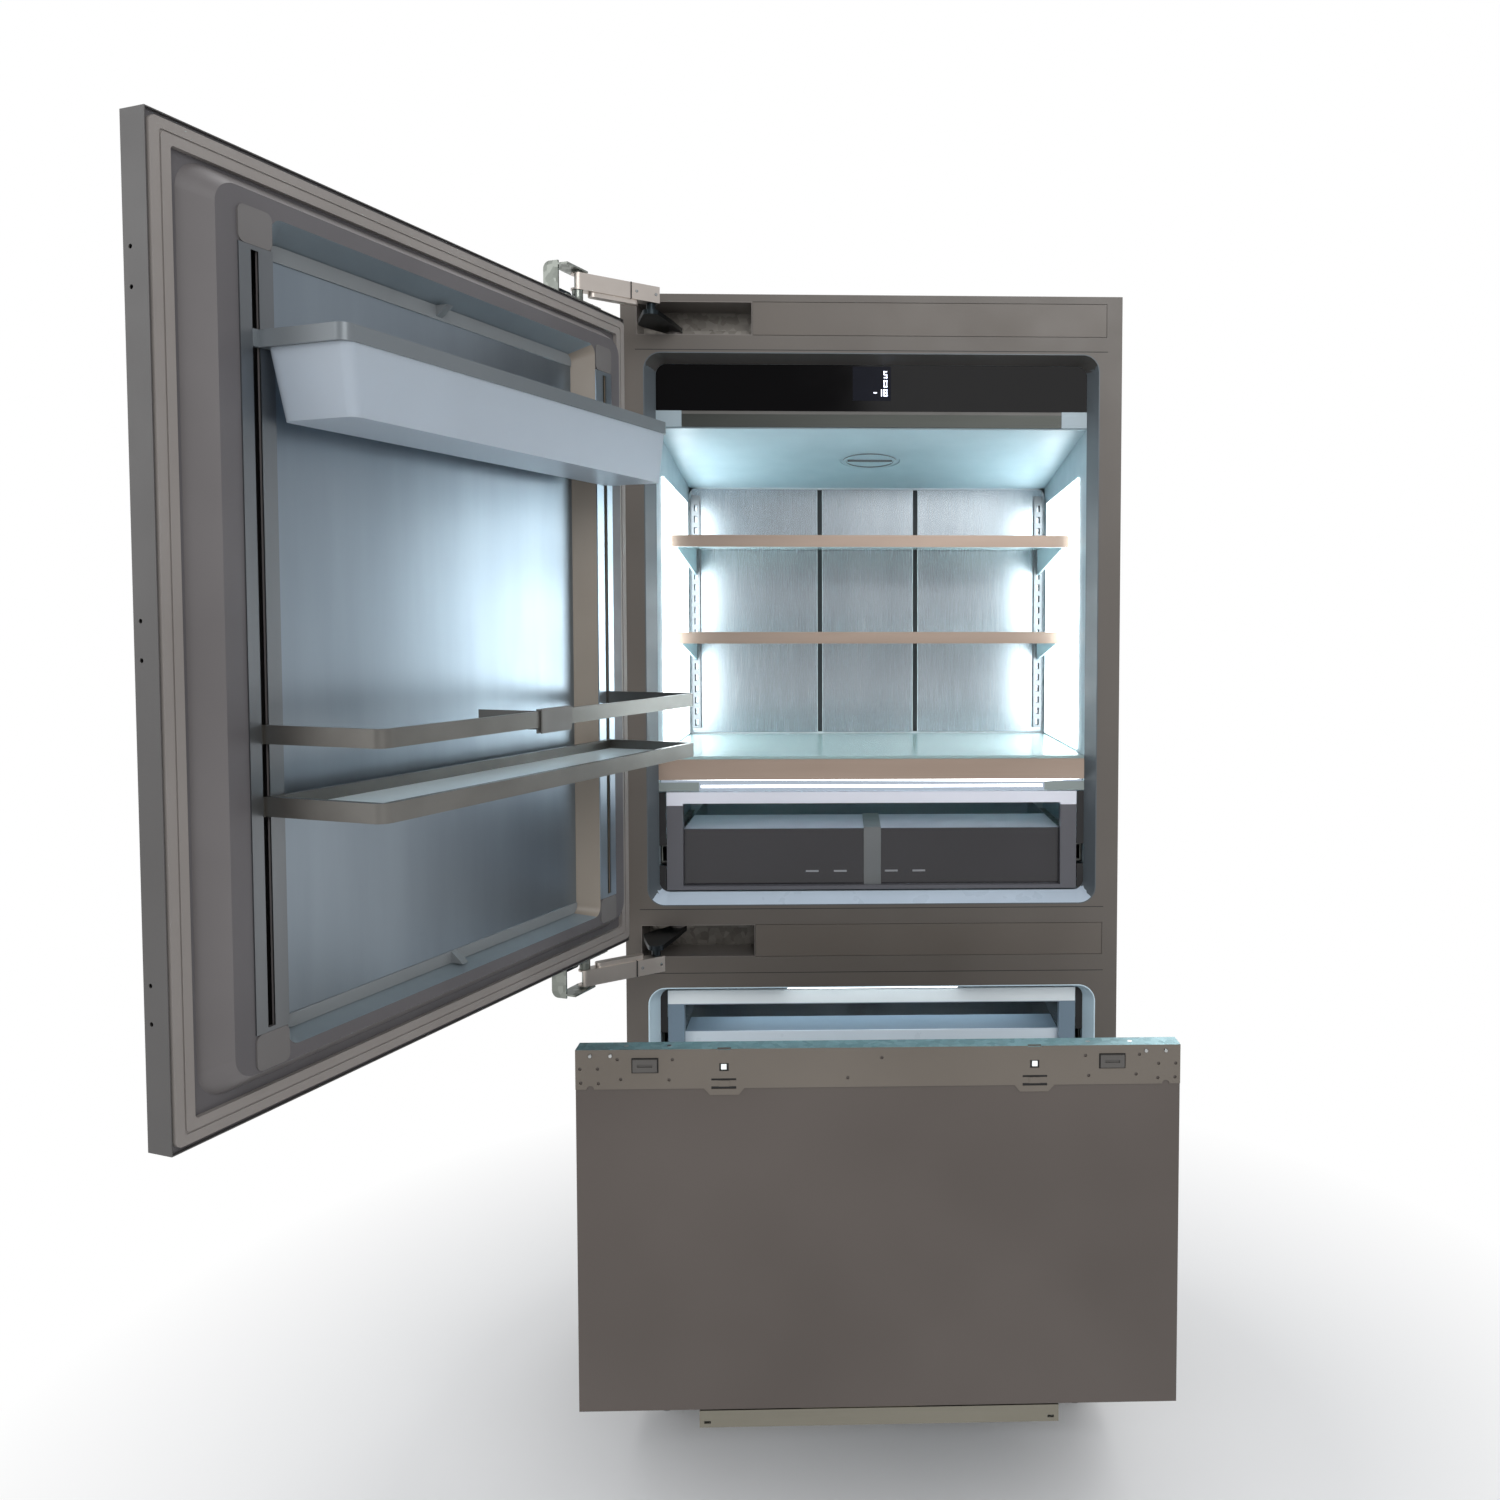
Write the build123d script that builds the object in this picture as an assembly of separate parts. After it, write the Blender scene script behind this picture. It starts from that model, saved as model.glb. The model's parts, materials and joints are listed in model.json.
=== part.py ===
from build123d import *
import math
import os

# Integrated fridge freezer for a kitchen niche, all sizes in millimetres.
# X runs across the front, Y from the front frame into the niche, Z up from the floor.
# The origin is on the floor, under the middle of the cabinet's front plane.
# The door is built as it stands wide open, and the freezer front as it is pulled out.

# Cabinet: width, depth, and the stack of heights from the floor up
CAB_W = 908.0
CAB_D = 570.0
BODY_Z = 100.0
MACHINE_H = 272.0
FREEZER_H = 488.0
DIVIDER_H = 156.0
FRIDGE_H = 1004.0
TOP_MARGIN = 13.0

# Sheet metal, moulded walls and running gaps
SHEET = 1.2
LINER_T = 2.0
LINER_SKIN = 2.5
FIT = 0.3
OVER = 1.0

# Front frame
STILE_W = 26.0
FRAME_T = 2.0
FRAME_LIP = 14.0
REAR_FLANGE = 15.0
COVER_GAP = 1.0
COVER_TONGUE = 6.0

# Compartments: how far the mouth lies inside the casing, and the flare behind it
MOUTH_IN = 42.0
FLARE_W = 16.0
FLARE_D = 28.0
FRIDGE_FLARE = (18.0, 14.0)
FREEZER_FLARE = (8.0, 8.0)
MOUTH_R = 30.0
ROOM_R = 20.0
BACK_FOAM = 45.0
FASCIA_Y = 28.0

# Door and freezer front: body, laps over the mouths, and how far they stand open
DOOR_GAP = 2.5
DOOR_D = 34.0
FRONT_GAP = 3.0
DOOR_LAP = (43.0, 38.0)
DOOR_OPEN = 111.17
FRONT_SIDE_GAP = 2.0
FRONT_LAP = (23.0, 40.0)
FREEZER_OUT = 386.0
LEDGE_IN = 6.0
LEDGE_W = 12.0
SEAL_IN = 3.0
FRONT_SEAL_END_IN = 4.0
DOOR_SEAL_END_IN = 7.0
GASKET_W = 24.0
GASKET_R = 8.0
GASKET_GROOVE = (2.0, 1.5)

# Linked hinge: pins in door coordinates, the arm's reach, and the pocket in the frame
PIVOT_OUT = 15.3
PIVOT_AHEAD = 11.5
HINGE_PIN = (105.0, 12.0)
HINGE_ARM = (108.0, 78.0)
PIN_R = 5.0
PIN_FIT = 0.1
OPEN_PIVOT_FIT = 0.5
POCKET_IN = (28.0, 237.0)
POCKET_BELOW = 6.0
POCKET_ABOVE = 54.0
POCKET_D = 80.0
POCKET_T = 1.5
POCKET_BLOCK = (9.0, 24.0)
ARM_R = 11.0
ARM_H = 27.5
ARM_T = 2.5
ARM_HEAD_ROOM = 2.5
ARM_BLOCK = (40.0, 11.0)
ARM_BLOCK_HALF = 11.5
DAMPER_SPAN = (0.2, 0.75)
DAMPER_R = 8.0
DAMPER_H = 7.6
LINK_LIFT = 4.0
LINK_T = 8.0
LINK_R = (15.0, 14.0)
LINK_BULGE_R = 30.0
LINK_BULGE_OUT = 14.0
PIN_COLLAR = 3.0
PIN_HEAD_H = 4.0
AXIAL_GAP = 0.5
BRACKET_S = (65.0, 165.0)
BRACKET_N = (3.0, 31.0)
BRACKET_T = 3.0
END_PLATE_S = 148.0
END_PLATE_N = (-22.0, 6.0)
END_PLATE_TOP = 62.0
END_PLATE_R = 12.0
TOP_PLATE_S = 92.0
TOP_PLATE_N = 24.0
TOP_PLATE_RISE = 54.5

# Door liner: raised dike, central recess, slotted rails
DIKE_H = 32.0
DIKE_IN = 58.0
DIKE_END_IN = (61.0, 54.0)
DIKE_FLARE = 22.0
DIKE_FLARE_END = 19.0
DIKE_R = (34.0, 26.0)
RECESS_IN = 130.0
RECESS_END_IN = (77.0, 74.0)
RECESS_SINK = 1.0
RECESS_DRAFT = 22.0
RECESS_END_DRAFT = (8.0, 18.0)
RECESS_R = (12.0, 16.0)
PANEL_R = 14.0
PANEL_STRIPS = (17.0, 19.0)
PANEL_STRIP_T = 1.8
PANEL_CLIP_W = 12.0
PANEL_CLIP_SHIFT = (-3.5, 18.5)
PANEL_CLIP_H = (22.0, 20.0)
PANEL_CLIP_SLOPE = 0.75
PANEL_CLIP_OUT = 21.0
RAIL_IN = 85.0
RAIL_W = 45.0
RAIL_END_IN = (63.0, 72.0)
RAIL_T = 2.0
RAIL_SLOT_END = 5.0
CORNER_H = 41.0
CORNER_R = 8.0
SLOT_IN = 105.5
SLOT_W = 10.0
SLOT_D = 4.0
SLOT_END_IN = (109.0, 112.0)
EDGE_HOLE_N = 10.0
EDGE_HOLE_R = 2.5
EDGE_HOLE_PAIRS = (139.0, 522.0, 905.0)
EDGE_HOLE_STEP = 41.0

# Door racks
RACK_GAP = 2.0
HOOK_REACH = 3.0
BIN_IN = 107.5
BIN_REACH = 120.0
BIN_FLOOR = 784.0
BIN_H = 79.0
BIN_WALL = 2.5
BIN_TAPER = 12.0
BIN_TAPER_SHARE = (0.75, 0.25)
BIN_INSET = (5.0, 4.0, 1.0)
BIN_R = 12.0
RIM_H = 19.0
RIM_T = 8.0
RACK_IN = 103.0
RACK_REACH = 164.0
RACK_FLOOR = 346.0
RACK_H = 22.0
RACK_SEAT = 4.0
RACK_LIP = 8.0
RACK_R = (14.0, 10.0)
GUARD_RISE = 59.0
GUARD_H = 21.0
GUARD_T = 4.0
DIVIDER_S = (455.0, 521.0)
DIVIDER_WALL = 2.5
DIVIDER_HANG = 8.0
DIVIDER_PLATE_T = 3.0
DIVIDER_PLATE_N = 130.0
DIVIDER_DROP = 3.0

# Fridge compartment
DUCT_GAP = 40.0
DUCT_T = 2.5
DUCT_SLOTS = 6
DUCT_SLOT = (60.0, 8.0)
DUCT_SLOT_PITCH = 100.0
DUCT_SLOT_DROP = 31.0
FASCIA_H = 84.0
FASCIA_T = 5.0
LINE_H = 6.0
LINE_T = 4.0
STRIP_H = 23.0
STRIP_T = 6.0
STRIP_END = 47.0
CEILING_GAP = 3.0
CEILING_IN = 5.0
CEILING_FALL = 56.0
CEILING_T = 3.0
FILTER_R = 60.0
FILTER_Y = 255.0
WELL_D = 20.0
WELL_WALL = 3.0
WELL_GAP = 1.0
LID_T = 6.0
LID_RING = (54.0, 48.0)
LID_RING_T = 3.0
LID_GRIP = (90.0, 9.0, 5.0)
FULL_SHELF_H = 247.0
FULL_TRIM_H = 38.0
FULL_GLASS_T = 6.0
TRIM_D = 12.0
SHELF_LEDGE = (8.0, 8.0)
LOWER_SHELF_RISE = 212.0
UPPER_SHELF_RISE = 188.0
LOWER_SHELF_Y = 195.0
UPPER_SHELF_Y = 140.0
SHELF_IN = 10.0
SHELF_TRIM_H = 23.0
SHELF_TRIM_D = 10.0
SHELF_TRIM_LIP = 3.0
SHELF_GLASS_T = 5.0
SHELF_BRACKET_T = 4.0
SHELF_BRACKET_H = (12.0, 56.0)
SHELF_BACK_GAP = 4.0
RAIL_STEEL = 1.5
WALL_RAIL_IN = (7.0, 25.0)
WALL_RAIL_D = 12.0
WALL_RAIL_END = 19.0
SLOT_PITCH = 25.0
WALL_SLOT = (7.0, 14.0)
LUG_H = 10.0
PANEL_T = 3.0
PANEL_MIDDLE = 100.5
PANEL_GROOVE = 11.5
PANEL_END_IN = 7.0
PANEL_RISE = 9.0
PANEL_DROP = 4.0
BAR_LAMP_H = 21.0
BAR_LAMP_T = 7.0
BAR_LAMP_IN = 4.0
BAR_CAP = (74.0, 16.0)
SIDE_LAMP_T = 3.0
SIDE_LAMP_Y = (67.0, 35.0)
SIDE_LAMP_LEAN = 10.0
SIDE_LAMP_RISE = 11.0
SIDE_LAMP_DROP = (24.0, 38.0)

# Runners of the three drawers: three members nested inside each other
RUNNER_W = 13.0
RUNNER_H = 36.0
RUNNER_T = 1.5
RUNNER_GAP = 0.5
RUNNER_BACK = 6.0
RUNNER_STEP = (2.0, 4.0)
BASKET_RUNNER_Y = 30.0
FREEZER_DUCT_GAP = 63.0

# The two inner drawers
DRAWER_IN = 14.0
DRAWER_FRAME_D = 18.0
DRAWER_STILE = 30.0
DRAWER_SILL = 7.0
FRESH_BAR = 21.0
INNER_BAR = 27.0
FRESH_FLOOR_GAP = 3.0
FRESH_TOP_GAP = 2.0
INNER_H = 158.0
INNER_TOP_GAP = 4.0
PANE_T = 3.0
PANE_BACK = 1.0
PLATE_T = 3.0
PLATE_SIDE_GAP = 4.0
FRESH_PLATE_DROP = 74.0
FRESH_PLATE_D = 159.0
INNER_PLATE_DROP = 86.0
INNER_PLATE_D = 79.0
CLIP_W = 32.0
CLIP_T = 2.5
BIN_T = 2.5
BIN_SIDE_GAP = 40.0
BIN_FRONT_H = 14.0
BIN_FLOOR_GAP = 4.0
BIN_BACK_GAP = 45.0
WING_T = 3.0
WING_H = 12.0
FRESH_RUNNER_RISE = 65.0
INNER_RUNNER_RISE = 60.0

# Freezer front: plug, fixing plate, lower rail and basket
PLUG_Y = 20.0
PLUG_IN = (7.0, 24.0)
PLUG_END_IN = (11.0, 20.0)
PLUG_R = (24.0, 20.0)
FRONT_LEDGE_W = 12.8
PLATE_H = 58.0
PLATE_THICK = 2.0
FLANGE_D = 30.0
FLANGE_T = 1.5
FLANGE_NOTCH = (222.0, 242.0)
FLANGE_NOTCH_D = 6.0
TAB_TOP = (202.0, 262.0)
TAB_FOOT = (210.0, 253.0)
TAB_H = 10.0
SQUARE_HOLE = (225.0, 239.0, 20.0, 32.0)
UPPER_SLOT = (214.0, 251.0, 43.0, 46.0)
LOWER_SLOT = (214.0, 251.0, 55.0, 59.0)
BRIDGE = (224.0, 240.0, 46.0, 55.0)
BRIDGE_T = 1.0
ADJUSTER_WINDOW = (329.0, 369.0, 11.0, 34.0)
ADJUSTER_RIM = 2.0
ADJUSTER_T = 5.0
ADJUSTER_SLOT = (22.0, 4.0, 2.0)
NOTCH_X = 430.0
NOTCH_R = 5.5
PLATE_HOLE_R = 2.5
PLATE_HOLE_PAIRS = ((390.0, 13.0), (385.0, 43.0), (308.5, 14.0), (313.5, 44.5),
                    (445.0, 27.0), (419.0, 27.0), (444.0, 48.0), (418.0, 49.0))
PLATE_HOLES = ((-48.0, 44.0), (3.0, 14.0))
LOWER_RAIL_HALF = 272.0
LOWER_RAIL_DROP = (2.0, 28.0)
LOWER_RAIL_D = 20.0
LOWER_RAIL_FOOT = (-119.0, 55.0)
LOWER_RAIL_SLOT = (255.0, 265.0, 6.0, 10.0)
BASKET_SIDE_GAP = 30.0
BASKET_FLOOR_GAP = 16.0
BASKET_TOP_GAP = 22.0
BASKET_WALL = 3.0
BASKET_TAPER = 12.0
BASKET_R = 20.0
BASKET_RUNNER_DROP = 108.0
BASKET_WING_LAP = 8.0

# Machine space and cooling parts
PAN_RIM = 25.0
PAN_T = 2.0
RIB_COUNT = 5
RIB_PITCH = 150.0
RIB_W = 40.0
RIB_D = 4.0
RIB_END = (360.0, 120.0)
SHAFT_R = 3.0
BLADE_T = 1.6
BLADE_TILT = 35.0
HUB_SHARE = 0.3
BLADE_CHORD_SHARE = 1.3
FAN_DEPTH = 14.0
FREEZER_FAN_RISE = 260.0
FREEZER_FAN_R = 52.0
FREEZER_FAN_PORT = 55.0
FREEZER_FAN_BLADES = 7
MOTOR_R = 14.0
MOTOR_T = 12.0
FAN_OFFSET = 22.0
GUARD_BAR = 4.0
CONDENSER_X = (-340.0, 20.0)
CONDENSER_BACK = (190.0, 140.0)
CONDENSER_H = 175.0
CONDENSER_FINS = 16
CONDENSER_ROWS = 4
TUBE_R = 4.0
FIN_T = 1.2
CONDENSER_FAN_RISE = 98.0
CONDENSER_FAN_R = 75.0
CONDENSER_FAN_BLADES = 5
CONDENSER_FAN_GAP = 38.0
COMPRESSOR_AT = (250.0, 150.0)
COMPRESSOR_R = 78.0
COMPRESSOR_H = 130.0
COMPRESSOR_DOME_R = 30.0
COMPRESSOR_LIFT = 30.0
COMPRESSOR_PLATE = (190.0, 140.0, 4.0)
COMPRESSOR_FOOT = (80.0, 55.0, 12.0)
COMPRESSOR_FOOT_H = 20.0
EVAPORATOR_H = 140.0
EVAPORATOR_ROWS = 3
FRIDGE_COIL = (180.0, 32.0, 26.0)
FREEZER_COIL = (220.0, 45.0, 20.0)
COIL_FINS = (16, 18)
FOOT_IN = 54.0
FOOT_Y = (110.0, 40.0)
FOOT_R = 22.0
FOOT_T = 12.0
STEM_R = 8.0
TOE_Y = 145.0
TOE_T = 3.0
TOE_SIDE_GAP = 14.0
TOE_FLOOR_GAP = 14.0
TOE_SLOT = (84.0, 6.0)
TOE_SLOT_PITCH = (100.0, 18.0)
TOE_SLOT_COUNT = (8, 3)
TOE_SLOT_Z = 35.0
INLET_IN = (74.0, 114.0)
INLET_RISE = (60.0, 90.0)
INLET_D = 14.0
INLET_WALL = 4.0
INLET_FLOOR = 3.0

# Places that follow from the sizes above
HALF_W = CAB_W / 2
FREEZER_MOUTH = (BODY_Z + MACHINE_H, BODY_Z + MACHINE_H + FREEZER_H)
FRIDGE_MOUTH = (FREEZER_MOUTH[1] + DIVIDER_H, FREEZER_MOUTH[1] + DIVIDER_H + FRIDGE_H)
FREEZER_ROOM = (FREEZER_MOUTH[0] + FREEZER_FLARE[0], FREEZER_MOUTH[1] - FREEZER_FLARE[1])
FRIDGE_ROOM = (FRIDGE_MOUTH[0] + FRIDGE_FLARE[0], FRIDGE_MOUTH[1] - FRIDGE_FLARE[1])
MOUTH_HALF = HALF_W - MOUTH_IN
ROOM_HALF = MOUTH_HALF - FLARE_W
LINER_BACK = CAB_D - BACK_FOAM
DUCT_Y = LINER_BACK - DUCT_GAP
FREEZER_DUCT = LINER_BACK - FREEZER_DUCT_GAP
BIN_BACK = DUCT_Y - BIN_BACK_GAP

DOOR_W = CAB_W - 2 * DOOR_GAP
DOOR_Z = (FRIDGE_MOUTH[0] - DOOR_LAP[0], FRIDGE_MOUTH[1] + DOOR_LAP[1])
FRONT_D = DOOR_D
FRONT_FACE = -DOOR_D - FRONT_GAP
FRONT_HALF = HALF_W - FRONT_SIDE_GAP
FRONT_Z = (FREEZER_MOUTH[0] - FRONT_LAP[0], FREEZER_MOUTH[1] + FRONT_LAP[1])
GASKET_FACE = -FRONT_FACE - FIT
POCKET_X = (POCKET_IN[0] - HALF_W, POCKET_IN[1] - HALF_W)
POCKET_Z = (DOOR_Z[1] - POCKET_BELOW, DOOR_Z[1] + POCKET_ABOVE)
CAB_TOP = POCKET_Z[1] + TOP_MARGIN

LEDGE_N = DOOR_D - LEDGE_IN
DIKE_N = LEDGE_N + DIKE_H
DIKE_S = (DIKE_IN, DOOR_W - DIKE_IN)
DIKE_Z = (DOOR_Z[0] + DIKE_END_IN[0], DOOR_Z[1] - DIKE_END_IN[1])
RECESS_N = LEDGE_N - RECESS_SINK
RECESS_S = (RECESS_IN, DOOR_W - RECESS_IN)
RECESS_Z = (DOOR_Z[0] + RECESS_END_IN[0], DOOR_Z[1] - RECESS_END_IN[1])
FLOOR_S = (RECESS_S[0] + RECESS_DRAFT, RECESS_S[1] - RECESS_DRAFT)
FLOOR_Z = (RECESS_Z[0] + RECESS_END_DRAFT[0], RECESS_Z[1] - RECESS_END_DRAFT[1])
RAIL_S = (RAIL_IN, DOOR_W - RAIL_IN)
DOOR_RAIL_Z = (DOOR_Z[0] + RAIL_END_IN[0], DOOR_Z[1] - RAIL_END_IN[1])
SLOT_S = (SLOT_IN, DOOR_W - SLOT_IN)
SLOT_Z = (DOOR_Z[0] + SLOT_END_IN[0], DOOR_Z[1] - SLOT_END_IN[1])
BIN_S = (BIN_IN, DOOR_W - BIN_IN)
BIN_N = (DIKE_N + RACK_GAP, DIKE_N + RACK_GAP + BIN_REACH)
BIN_Z = (DOOR_Z[0] + BIN_FLOOR, DOOR_Z[0] + BIN_FLOOR + BIN_H)
RACK_S = (RACK_IN, DOOR_W - RACK_IN)
RACK_N = (DIKE_N + RACK_GAP, DIKE_N + RACK_GAP + RACK_REACH)
RACK_Z = DOOR_Z[0] + RACK_FLOOR
GUARD_Z = RACK_Z + RACK_H + GUARD_RISE

FASCIA_Z = FRIDGE_ROOM[1] - FASCIA_H
STRIP_Z = FASCIA_Z - LINE_H - STRIP_H
CEILING_FRONT = (FASCIA_Y + CEILING_IN, STRIP_Z - CEILING_GAP)
CEILING_BACK = (DUCT_Y, STRIP_Z - CEILING_GAP - CEILING_FALL)
FULL_SHELF_Z = FRIDGE_ROOM[0] + FULL_SHELF_H
TRIM_FOOT_Z = FULL_SHELF_Z - FULL_TRIM_H
LOWER_SHELF_Z = FULL_SHELF_Z + LOWER_SHELF_RISE
UPPER_SHELF_Z = LOWER_SHELF_Z + UPPER_SHELF_RISE
SHELF_HALF = ROOM_HALF - SHELF_IN
WALL_RAIL_X = (ROOM_HALF - WALL_RAIL_IN[1], ROOM_HALF - WALL_RAIL_IN[0])
WALL_RAIL_Y = (DUCT_Y - PANEL_T - WALL_RAIL_D, DUCT_Y - PANEL_T)
WALL_RAIL_Z = (FULL_SHELF_Z + WALL_RAIL_END, CEILING_BACK[1] - WALL_RAIL_END)

DRAWER_HALF = ROOM_HALF - DRAWER_IN
DRAWER_Y = (FASCIA_Y, FASCIA_Y + DRAWER_FRAME_D)
BIN_HALF = ROOM_HALF - BIN_SIDE_GAP
FRESH_Z = (FRIDGE_ROOM[0] + FRESH_FLOOR_GAP, TRIM_FOOT_Z - BAR_LAMP_H - FRESH_TOP_GAP)
INNER_Z = (FREEZER_ROOM[1] - INNER_TOP_GAP - INNER_H, FREEZER_ROOM[1] - INNER_TOP_GAP)
FRESH_PLATE_Z = FRESH_Z[1] - FRESH_PLATE_DROP
INNER_PLATE_Z = INNER_Z[1] - INNER_PLATE_DROP
FRESH_RUNNER_Z = FRESH_Z[0] + FRESH_RUNNER_RISE
INNER_RUNNER_Z = INNER_Z[0] + INNER_RUNNER_RISE
BASKET_Z = (FREEZER_ROOM[0] + BASKET_FLOOR_GAP, INNER_Z[0] - BASKET_TOP_GAP)
BASKET_RUNNER_Z = BASKET_Z[1] - BASKET_RUNNER_DROP
FIXED_END = FREEZER_DUCT - RUNNER_BACK
FIXED_Y = (DRAWER_Y[1], FIXED_END)
MIDDLE_Y = (DRAWER_Y[1] + RUNNER_STEP[0], FIXED_END - RUNNER_STEP[1])
BASKET_FIXED_Y = (BASKET_RUNNER_Y, FIXED_END)
BASKET_MIDDLE_Y = (BASKET_RUNNER_Y + RUNNER_STEP[0], FIXED_END - RUNNER_STEP[1])

MACHINE_FLOOR = BODY_Z + PAN_T
CONDENSER_Y = (CAB_D - CONDENSER_BACK[0], CAB_D - CONDENSER_BACK[1])
CONDENSER_FAN = (sum(CONDENSER_X) / 2, CONDENSER_Y[0] - CONDENSER_FAN_GAP, MACHINE_FLOOR + CONDENSER_FAN_RISE)
FREEZER_FAN_Z = FREEZER_ROOM[0] + FREEZER_FAN_RISE
FREEZER_FAN_Y = FREEZER_DUCT + DUCT_T + FAN_OFFSET


def both_ways(half):
    """Span from one side of the middle plane to the other."""
    return (-half, half)


def grown(span, step):
    """A span widened at both ends."""
    return (span[0] - step, span[1] + step)


def block(x, y, z):
    """Block between the low and high ends of three spans."""
    size = Box(x[1] - x[0], y[1] - y[0], z[1] - z[0])
    return Pos(sum(x) / 2, sum(y) / 2, sum(z) / 2) * size


def pair(piece):
    """The piece and its mirror image about the cabinet's middle plane."""
    return [piece, mirror(piece, Plane.YZ)]


def both_hinges(piece):
    """The upper piece and its mirror image at the foot of the door."""
    return [piece, mirror(piece, Plane.XY.offset(sum(DOOR_Z) / 2))]


def outline(x, z, radius):
    """Rounded rectangle drawn in X and Z."""
    return Pos(sum(x) / 2, sum(z) / 2) * RectangleRounded(x[1] - x[0], z[1] - z[0], radius)


def at_y(sketch, y):
    """A sketch drawn in X and Z, placed at a depth."""
    return Plane.XZ.offset(-y) * sketch


def slab(sketch, y0, y1):
    """A sketch drawn in X and Z, made solid between two depths."""
    return extrude(at_y(sketch, y1), y1 - y0)


def disc(x, y, radius, z):
    """Upright round bar between two heights."""
    return Pos(x, y, sum(z) / 2) * Cylinder(radius, z[1] - z[0])


def along_y(x, y, z, radius):
    """Round bar along Y at a place in X and Z."""
    return Pos(x, sum(y) / 2, z) * Rot(90, 0, 0) * Cylinder(radius, y[1] - y[0])


def along_x(x, y, z, radius):
    """Round bar along X at a place in Y and Z."""
    return Pos(sum(x) / 2, y, z) * Rot(0, 90, 0) * Cylinder(radius, x[1] - x[0])


def across(points, x):
    """Profile drawn in Y and Z, made solid across a span of X."""
    face = Plane.YZ * Polygon(*points, align=None)
    return Pos(x[0], 0, 0) * extrude(face, x[1] - x[0])


def spaced(count, pitch):
    """Places of a row of equal steps, centred on zero."""
    return [(i - (count - 1) / 2) * pitch for i in range(count)]


def save(name, *pieces):
    """Write one node; several solids stay separate in it."""
    solids = []
    for piece in pieces:
        solids.extend(piece if isinstance(piece, list) else [piece])
    flat = [solid for item in solids for solid in item.solids()]
    shape = flat[0] if len(flat) == 1 else Compound(children=flat)
    shape.label = name
    export_step(shape, f"parts/{name}.step")


# Cabinet shell

def casing_wrap():
    """Sides and top of one folded sheet, with stiles in front and flanges behind."""
    edge = HALF_W - SHEET
    z = (BODY_Z, CAB_TOP - SHEET)
    sheet = block(both_ways(HALF_W), (0, CAB_D), (BODY_Z, CAB_TOP))
    sheet -= block(both_ways(edge), grown((0, CAB_D), OVER), (BODY_Z - OVER, CAB_TOP - SHEET))
    stile = block((HALF_W - STILE_W, edge), (0, SHEET), z)
    rear = block((edge - REAR_FLANGE, edge), (CAB_D - SHEET, CAB_D), z)
    for flange in pair(stile) + pair(rear):
        sheet += flange
    return sheet


def back_panel():
    """Rear sheet with a row of pressed stiffening ribs."""
    y1 = CAB_D - SHEET
    sheet = block(both_ways(HALF_W - SHEET), (y1 - SHEET, y1), (BODY_Z, CAB_TOP - SHEET))
    rib_z = (BODY_Z + RIB_END[0], CAB_TOP - RIB_END[1])
    for x in spaced(RIB_COUNT, RIB_PITCH):
        sheet += block(grown((x, x), RIB_W / 2), (y1 - RIB_D, y1 - SHEET), rib_z)
    return sheet


def base_pan():
    """Floor pan of the machine space, with turned-up edges."""
    inner = HALF_W - SHEET
    y = (FRAME_LIP, CAB_D - 2 * SHEET)
    outer = block(both_ways(inner), y, (BODY_Z, BODY_Z + PAN_RIM))
    return outer - block(both_ways(inner - PAN_T), grown(y, -PAN_T), (MACHINE_FLOOR, BODY_Z + PAN_RIM + OVER))


def front_frame():
    """Face frame: crosspieces round both compartments, with the hinge slots cut out."""
    half = HALF_W - STILE_W
    z = (BODY_Z, CAB_TOP - SHEET)
    frame = block(both_ways(half), (0, FRAME_T), z)
    edge = block(both_ways(half), (FRAME_T, FRAME_LIP), z)
    edge -= block(both_ways(half - FRAME_T), (0, FRAME_LIP + OVER), grown(z, -FRAME_T))
    frame += edge
    for mouth in (FRIDGE_MOUTH, FREEZER_MOUTH):
        hole = outline(both_ways(MOUTH_HALF + LINER_T), grown(mouth, LINER_T), MOUTH_R + LINER_T)
        frame -= slab(hole, -OVER, FRAME_T + OVER)
    slot = block((POCKET_X[0], -POCKET_X[0]), (-OVER, FRAME_T + OVER), POCKET_Z)
    for cut in both_hinges(slot):
        frame -= cut
    return frame


def cover_strips():
    """Strips that close the slots beside the two hinge pockets, lapping behind the frame."""
    x = (POCKET_X[1], -POCKET_X[0])
    face = block(grown(x, -COVER_GAP), (0, FRAME_T), grown(POCKET_Z, -COVER_GAP))
    tongue = block(x, (FRAME_T, FRAME_T + SHEET), grown(POCKET_Z, COVER_TONGUE))
    return both_hinges(face + tongue)


def liner(mouth, room):
    """Moulded compartment: a tub whose mouth flares out to the frame."""
    def skin(step, back):
        front = outline(both_ways(MOUTH_HALF + step), grown(mouth, step), MOUTH_R + step)
        throat = outline(both_ways(ROOM_HALF + step), grown(room, step), ROOM_R + step)
        flare = loft([at_y(front, 0), at_y(throat, FLARE_D)])
        return flare + slab(throat, FLARE_D, back)
    return skin(LINER_T, LINER_BACK + LINER_T) - skin(0, LINER_BACK)


def fridge_liner():
    """Upper compartment, with the ledges that carry the full-width shelf."""
    tub = liner(FRIDGE_MOUTH, FRIDGE_ROOM)
    ledge = block((ROOM_HALF - SHELF_LEDGE[0], ROOM_HALF + OVER), (FASCIA_Y + TRIM_D, DUCT_Y),
                  (FULL_SHELF_Z - SHELF_LEDGE[1], FULL_SHELF_Z))
    for rib in pair(ledge):
        tub += rib
    return tub


# Fridge compartment

def control_panel():
    """Glass fascia across the top of the compartment."""
    z = (FASCIA_Z, FRIDGE_ROOM[1] - FIT)
    glass = block(both_ways(ROOM_HALF - FIT), (FASCIA_Y, FASCIA_Y + FASCIA_T), z)
    top_corners = glass.edges().filter_by(Axis.Y).sort_by(Axis.Z)[-2:]
    return fillet(top_corners, ROOM_R)


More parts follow.
